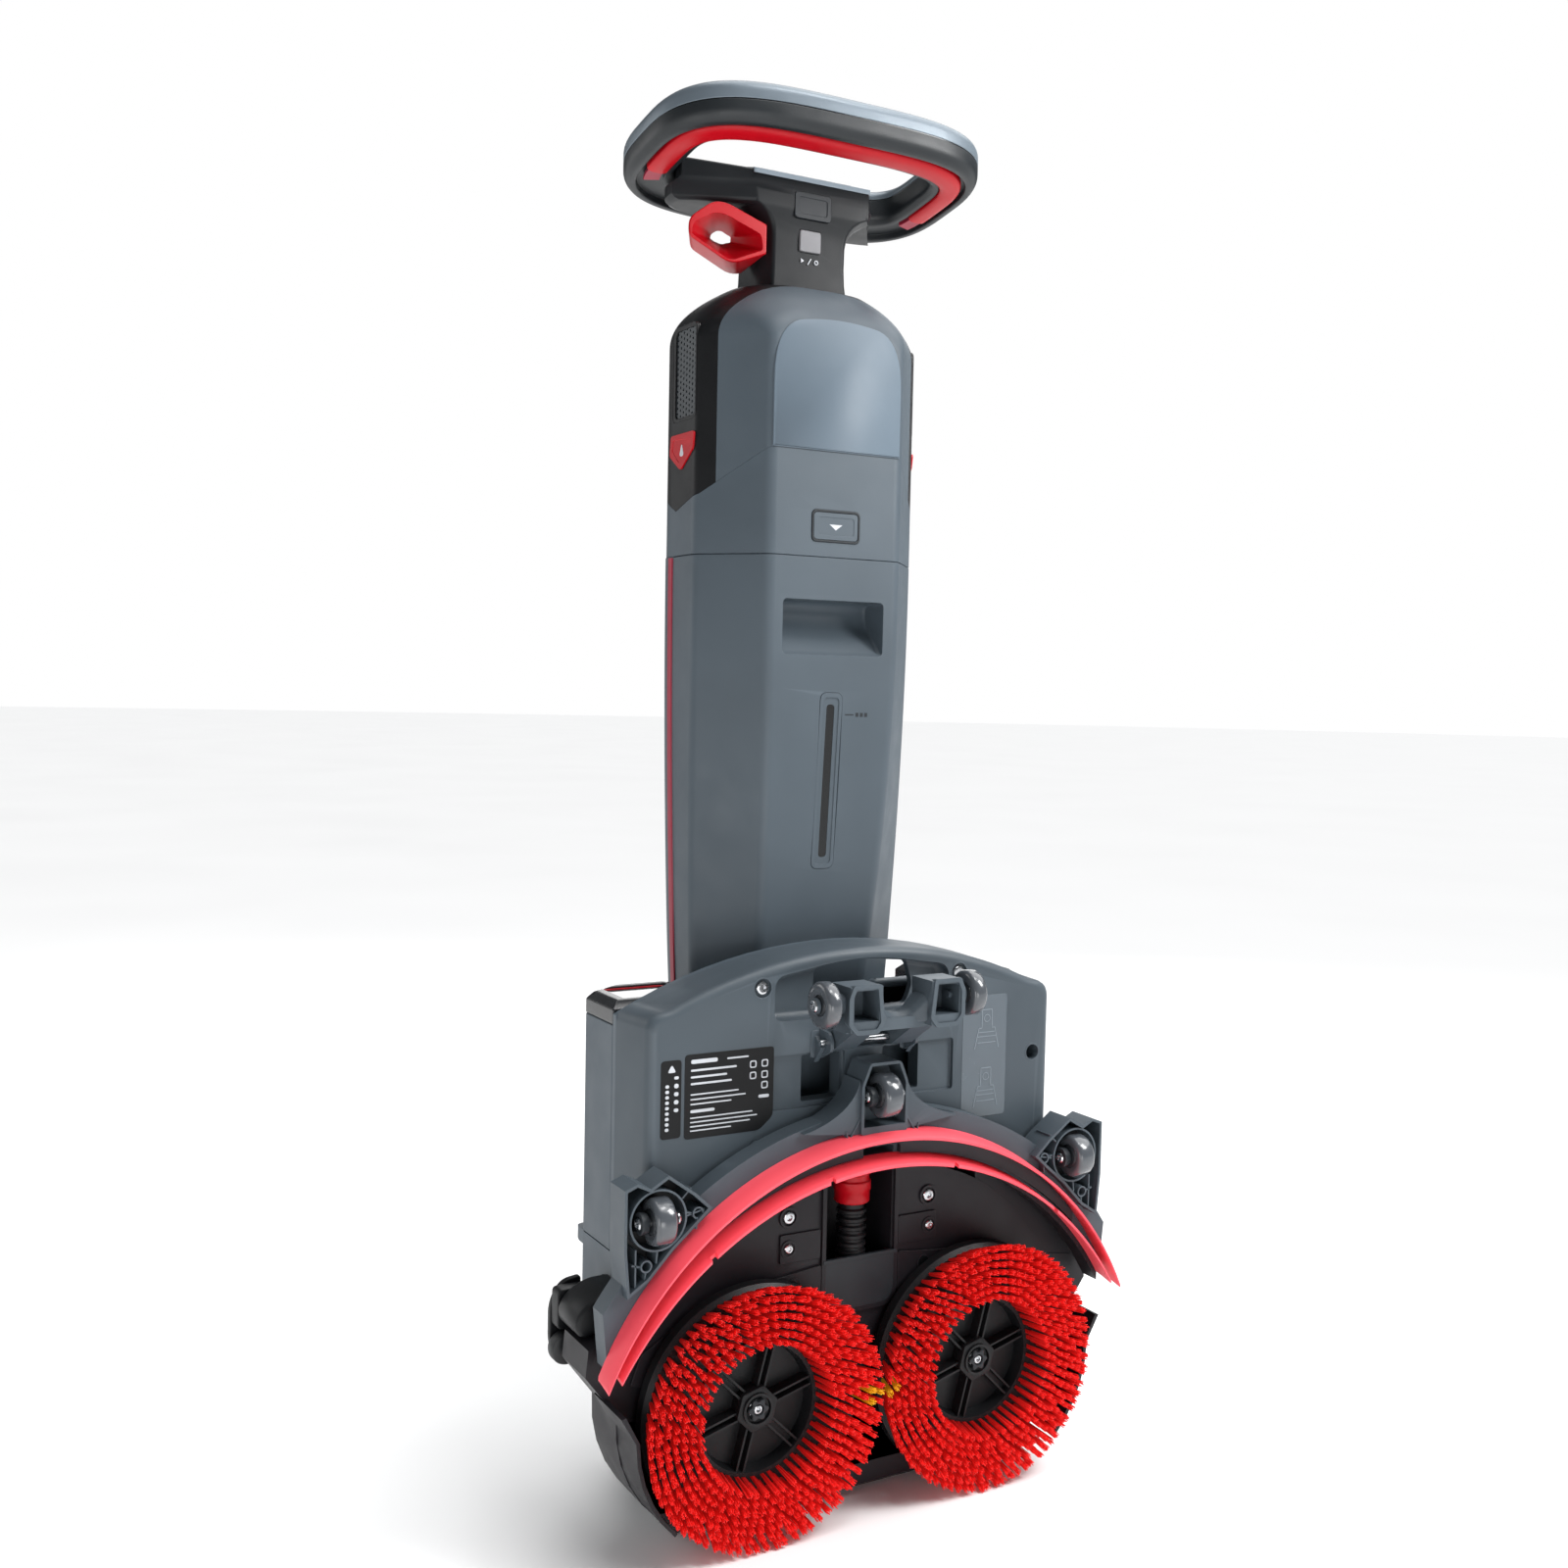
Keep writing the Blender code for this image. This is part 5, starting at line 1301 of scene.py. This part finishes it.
def make_squeegee_frame():
    outline = arc(FRONT_ARC_Z, 262, -224, 224, 72) + arc(REAR_ARC_Z, 274, 228, -228, 72)
    frame_body = prism(outline, "y", 20, 38)
    walls, tools, ribs = [], [], []
    for side in (-1, 1):
        shape = handed(side, POCKET)
        walls.append(prism(shape, "y", 12, 38))
        tools.append(prism(offset(shape, 2.2), "y", 5, 31))
        x, z = side * ROLLER_AT[0], ROLLER_AT[2]
        ribs.append(ring_wall(x, z, 22.5, 21.0, 13.5, 32, 48))
        for bx, bz in ((157.5, 260), (198, 227)):
            ribs.append(ring_wall(side * bx, bz, 4.6, 3.4, 13.5, 32, 24))
            ribs.append(rib((side * bx, bz - 4.2), (side * (bx + 1), bz - 12), 1.2, 14.5, 32))
            ribs.append(rib((side * (bx + 4.2), bz), (side * (bx + 11), bz + 2), 1.2, 14.5, 32))
        for x0, z0, x1, z1 in POCKET_RIBS:
            ribs.append(rib((side * x0, z0), (side * x1, z1), 1.2, 14.5, 32))
    for side in (-1, 1):
        flare = bezier((side * 70, 306), (side * 27, 316), (side * 21, 342), 10) + [(side * 19, 300)]
        walls.append(prism(flare, "y", 15, 38))
    housing = rounded([(-21, 300), (21, 300), (21, 338), (14, 355), (-14, 355), (-21, 338)], 3, 3)
    walls.append(prism(housing, "y", 12, 38))
    tools.append(prism(offset([(-21, 303.6), (21, 303.6), (21, 338), (14, 355), (-14, 355), (-21, 338)],
                              2.4), "y", 5, 31))
    fuse(frame_body, *walls)
    cut(frame_body, *tools)
    cut(frame_body, prism(rounded(rectangle(-14, 14, 281.5, 288), 3, 4), "y", 5, 45))
    piece(frame_body, "squeegee_carrier", GREY_DEEP, "squeegee", ["squeegee_frame"], 0.7, 2)
    piece(gather(*ribs), "carrier_ribs", GREY_DEEP, "squeegee", smooth=30)
    # Painted shade: this lip of the grey carrier is drawn black, for the shadow gap between the carrier and the
    # cover.
    lip = prism(arc(FRONT_ARC_Z, 256.6, -222, 222, 72) + arc(FRONT_ARC_Z, 261.8, 222, -222, 72), "y",
                20.2, 37.6)
    cut(lip, prism(rounded(rectangle(-14, 14, 270, 290), 3, 4), "y", 5, 45))
    piece(lip, "carrier_inner_lip_painted_shade", DECK_BLACK, "squeegee", smooth=30, slot="grey_plastic")
    floors = [prism(offset(handed(side, POCKET), 2.6), "y", 29.5, 30.9) for side, _ in SIDES]
    piece(gather(*floors), "pocket_floors", BLACK, "squeegee")
    posts = [rod("y", side * 95, 292, 4.9, 36, 62, 24) for side, _ in SIDES]
    posts.append(block((-16, 36, 271.6), (16, 72, 278.4)))
    piece(gather(*posts), "carrier_posts", GREY_DEEP, "squeegee", bevel=0.5, segments=2)
    make_gussets()


def make_gussets():
    """The small triangular stiffeners on both sides of the middle roller's housing."""
    parts = []
    for side in (-1, 1):
        tall = [(side * 21.5, 302), (side * 34, 290), (side * 36, 301), (side * 27, 309),
                (side * 24, 318), (side * 21.5, 318)]
        parts.append(prism(rounded(tall, 1.2, 2), "y", 20.5, 36))
        parts.append(rib((side * 21, 312), (side * 31, 296), 1.4, 14, 37))
        parts.append(rib((side * 31, 296), (side * 33, 304), 1.4, 14, 37))
    piece(gather(*parts), "middle_gussets", GREY_DEEP, "squeegee", bevel=0.4, segments=2)


def make_squeegee():
    make_squeegee_frame()
    blade("front_squeegee_blade", "front_blade", FRONT_ARC_Z, FRONT_ARC_R, 221, (-150, -52, 60, 160))
    blade("rear_squeegee_blade", "rear_blade", REAR_ARC_Z, REAR_ARC_R, 231, ())
    low = arc(FRONT_ARC_Z, 264.6 + GAP, -190, 190, 48)
    high = arc(REAR_ARC_Z, REAR_ARC_R + 1.0, 190, -190, 48)
    channel = prism(low + high, "y", 15, 19.7)
    cut(channel, prism(rounded(rectangle(-17, 17, 280.5, 290), 3, 4), "y", 5, 30))
    piece(channel, "suction_channel_lining", DARK, "squeegee", ["suction_channel"], 0.3, 1)
    for tag, body, centre in (("left", "left_roller", (-ROLLER_AT[0], ROLLER_AT[1], ROLLER_AT[2])),
                              ("right", "right_roller", ROLLER_AT), ("middle", "middle_roller", MIDDLE_AT)):
        wheel(f"{tag}_roller", centre, 8.0, 17.0, body, [f"{tag}_squeegee_roller"], 9.5)
        axle_bolt(f"{tag}_roller_axle", centre, centre[0] - 16.5, centre[0] + 15, "squeegee")
        x, _, z = centre
        yoke = []
        for side in (-1, 1):
            arm = rounded([(8.5, z - 5), (17.5, z - 6), (31, z - 12), (31, z + 12), (17.5, z + 6),
                           (8.5, z + 5)], 3, 4)
            yoke.append(prism(arm, "x", *sorted((x + side * 9.0, x + side * 13.6))))
        yoke.append(turned([(4.8, 0), (8.2, 0), (7.2, 6.4), (4.8, 6.4)], "x", (x - 16.2, ROLLER_AT[1], z),
                           32))
        piece(gather(*yoke), f"{tag}_roller_yoke", DARK, "squeegee", bevel=0.8, slot="grey_plastic")


SADDLE_STATIONS = ((-23, -9, 409), (-19, -8, 407), (-12, -5, 399), (-4, -3, 395.5),
                   (4, -3, 395.5), (12, -5, 399), (19, -8, 407), (23, -9, 409))         # x, front y, top z
HOOD_MOUTH = ((20.5, 392), (24, 421.5), (48, 421.5), (52, 412), (52, 392), (45, 384.5), (26, 384.5))
WHEEL_AT = (65.0, -3.0, 406.5)
WHEEL_RADIUS = 17.5


def make_transport():
    """The folding bracket with its saddle and hoods, and the two transport wheels."""
    piece(from_node("wheel_bracket"), "folding_bracket", GREY_DEEP, "bracket", ["wheel_bracket"], 0.9, 3)
    saddle = []
    for x, low_y, top in SADDLE_STATIONS:
        section = [(low_y, 388), (low_y - 1, top - 4), (low_y + 4, top), (9, top), (11.6, top - 3),
                   (11.6, 388)]
        saddle.append(ring_at(rounded(section, 2, 3), "x", x))
    piece(skin(saddle), "bracket_saddle", GREY_DEEP, "bracket", smooth=50)
    for side, tag in SIDES:
        mouth = [(side * x, z) for x, z in HOOD_MOUTH]
        hood = skin([ring_at(rounded(offset(mouth, inset), 2, 3), "y", y)
                     for inset, y in ((0, -16.5), (0, -14), (2.2, -4), (2.6, 2))])
        cut(hood, prism(rounded(offset(mouth, 3.4), 1.5, 3), "y", -30, 10))
        piece(hood, f"{tag}_bracket_hood", GREY_DEEP, "bracket", smooth=35)
    for side, tag in SIDES:
        centre = (side * WHEEL_AT[0], *WHEEL_AT[1:])
        wheel(f"{tag}_wheel", centre, 6.0, WHEEL_RADIUS, f"{tag}_wheel", [f"{tag}_transport_wheel"], 8.0)
        x0, x1 = span(side, 57, 74.5)
        axle_bolt(f"{tag}_wheel_axle_bolt", centre, x0, x1, "bracket", 3.4, 4.8)
        collar = turned([(4, 0), (7.5, 0), (7.5, 8), (4, 8)], "x",
                        (min(side * 50, side * 58), *WHEEL_AT[1:]), 32)
        piece(collar, f"{tag}_wheel_spacer", GREY_DEEP, "bracket", bevel=0.5, segments=2)


# ---------------------------------------------------------------- stage

def finish_nodes():
    """CAD nodes that keep their own shape get a finished material."""
    kept = {"battery_pack": DARK, "vacuum_motor": DARK_STEEL, "water_pump": DARK, "control_board": BOARD,
            "left_brush_motor": DARK_STEEL, "right_brush_motor": DARK_STEEL, "spine_tube": ALU,
            "tilt_yoke": DARK}
    for name, finish in kept.items():
        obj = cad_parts[name]
        for index in range(len(obj.material_slots)):
            obj.material_slots[index].material = finish


def area_light(name, location, target, size, energy):
    data = bpy.data.lights.new(name, "AREA")
    data.shape = "RECTANGLE"
    data.size, data.size_y = size
    data.energy = energy
    lamp = bpy.data.objects.new(name, data)
    lamp.location = location
    lamp.rotation_mode = "QUATERNION"
    lamp.rotation_quaternion = (Vector(target) - Vector(location)).to_track_quat("-Z", "Y")
    lamp.visible_camera = False
    bpy.context.scene.collection.objects.link(lamp)


AREA_LIGHTS = (             # name, place, target, size, watts
    ("key", (0.75, -0.75, 1.25), (0, 0, 0.85), (0.4, 0.6), 13),
    ("crown", (0.2, -0.5, 1.75), (0, 0, 0.97), (0.5, 0.3), 4),
    ("low_front", (-0.4, -1.6, 0.25), (0, 0, 0.15), (0.9, 0.5), 5),
    ("low_left", (-1.1, -0.5, 0.3), (-0.19, 0, 0.22), (0.5, 0.4), 2),
    ("rear", (1.2, 1.9, 1.4), (0, 0, 0.6), (1.4, 1.4), 12),
    ("rear_left", (-1.6, 1.6, 1.2), (0, 0, 0.6), (1.2, 1.2), 8),
)


def make_stage():
    """Floor, a world that shows white but lights dimly, a wide overhead lamp and the studio lamps."""
    floor = raw_floor()
    world = bpy.data.worlds.new("studio")
    bpy.context.scene.world = world
    world.use_nodes = True
    tree = world.node_tree
    tree.nodes.clear()
    output = tree.nodes.new("ShaderNodeOutputWorld")
    seen = tree.nodes.new("ShaderNodeBackground")
    seen.inputs["Color"].default_value = (1, 1, 1, 1)
    seen.inputs["Strength"].default_value = 1.0
    lit = tree.nodes.new("ShaderNodeBackground")
    lit.inputs["Color"].default_value = (0.94, 0.97, 1.0, 1)
    lit.inputs["Strength"].default_value = 0.15
    rays = tree.nodes.new("ShaderNodeLightPath")
    mix = tree.nodes.new("ShaderNodeMixShader")
    tree.links.new(rays.outputs["Is Camera Ray"], mix.inputs[0])
    tree.links.new(lit.outputs[0], mix.inputs[1])
    tree.links.new(seen.outputs[0], mix.inputs[2])
    tree.links.new(mix.outputs[0], output.inputs["Surface"])
    sun = bpy.data.lights.new("overhead", "SUN")
    sun.energy = 2.9
    sun.angle = radians(70)
    lamp = bpy.data.objects.new("overhead", sun)
    lamp.rotation_euler = (0, radians(24), 0)
    bpy.context.scene.collection.objects.link(lamp)
    for row in AREA_LIGHTS:
        area_light(*row)


FLOOR_SIDES = 64


def raw_floor():
    """A round floor, wide enough that its edge lies far off in every view."""
    bm = bmesh.new()
    previous = None
    for k in range(1, 7):
        row = [bm.verts.new((x, y, 0)) for x, y in circle(0, 0, 0.6 * 2 ** k, FLOOR_SIDES)]
        if previous is None:
            bm.faces.new(row)
        else:
            for i in range(FLOOR_SIDES):
                j = (i + 1) % FLOOR_SIDES
                bm.faces.new((previous[i], previous[j], row[j], row[i]))
        previous = row
    floor = raw(bm, "studio_floor")
    made, tree, shader, coords = start_material("studio_floor")
    shade = remap(tree, noise(tree, coords, 1.2, 2.0), 0.0, 1.0)
    tree.links.new(blend_colours(tree, shade, (0.98, 0.98, 0.98), (0.99, 0.99, 0.99)),
                   shader.inputs["Base Color"])
    tree.links.new(remap(tree, shade, 0.7, 0.85, 0.0, 1.0), shader.inputs["Roughness"])
    floor.data.materials.append(made)
    return floor


CAMERA_AT = (-0.6752, -1.0074, 0.6343)
CAMERA_TURN = (radians(29.66), -0.0561, 0.02)       # heading, tip, roll
SENSOR = 36.0
FOCAL_RATIO = 1.0313375


def make_camera():
    """The photograph's view: about 30 degrees to the machine's left, level with the column's middle."""
    heading, tip, roll = CAMERA_TURN
    forward = Vector((sin(heading) * cos(tip), cos(heading) * cos(tip), sin(tip)))
    right = Vector((cos(heading), -sin(heading), 0))
    up = right.cross(forward)
    tilted_right = right * cos(roll) + up * sin(roll)
    tilted_up = up * cos(roll) - right * sin(roll)
    data = bpy.data.cameras.new("view")
    data.sensor_width = SENSOR
    data.lens = FOCAL_RATIO * SENSOR
    data.clip_end = 60.0
    camera = bpy.data.objects.new("view", data)
    camera.matrix_world = Matrix((
        (tilted_right.x, tilted_up.x, -forward.x, CAMERA_AT[0]),
        (tilted_right.y, tilted_up.y, -forward.y, CAMERA_AT[1] + DATUM_Y),
        (tilted_right.z, tilted_up.z, -forward.z, CAMERA_AT[2]),
        (0, 0, 0, 1)))
    bpy.context.scene.collection.objects.link(camera)
    bpy.context.scene.camera = camera


make_tank()
make_rear_shell()
make_collar()
make_head()
make_handle()
make_neck()
make_base_cover()
make_boxes()
make_chassis()
make_service_cap()
make_deck()
make_hose()
for hand, hand_name in SIDES:
    make_bumper(hand, hand_name)
    make_brush(hand, hand_name)
make_squeegee()
make_transport()
finish_nodes()
make_stage()
make_camera()
bpy.context.scene.view_settings.view_transform = "Standard"
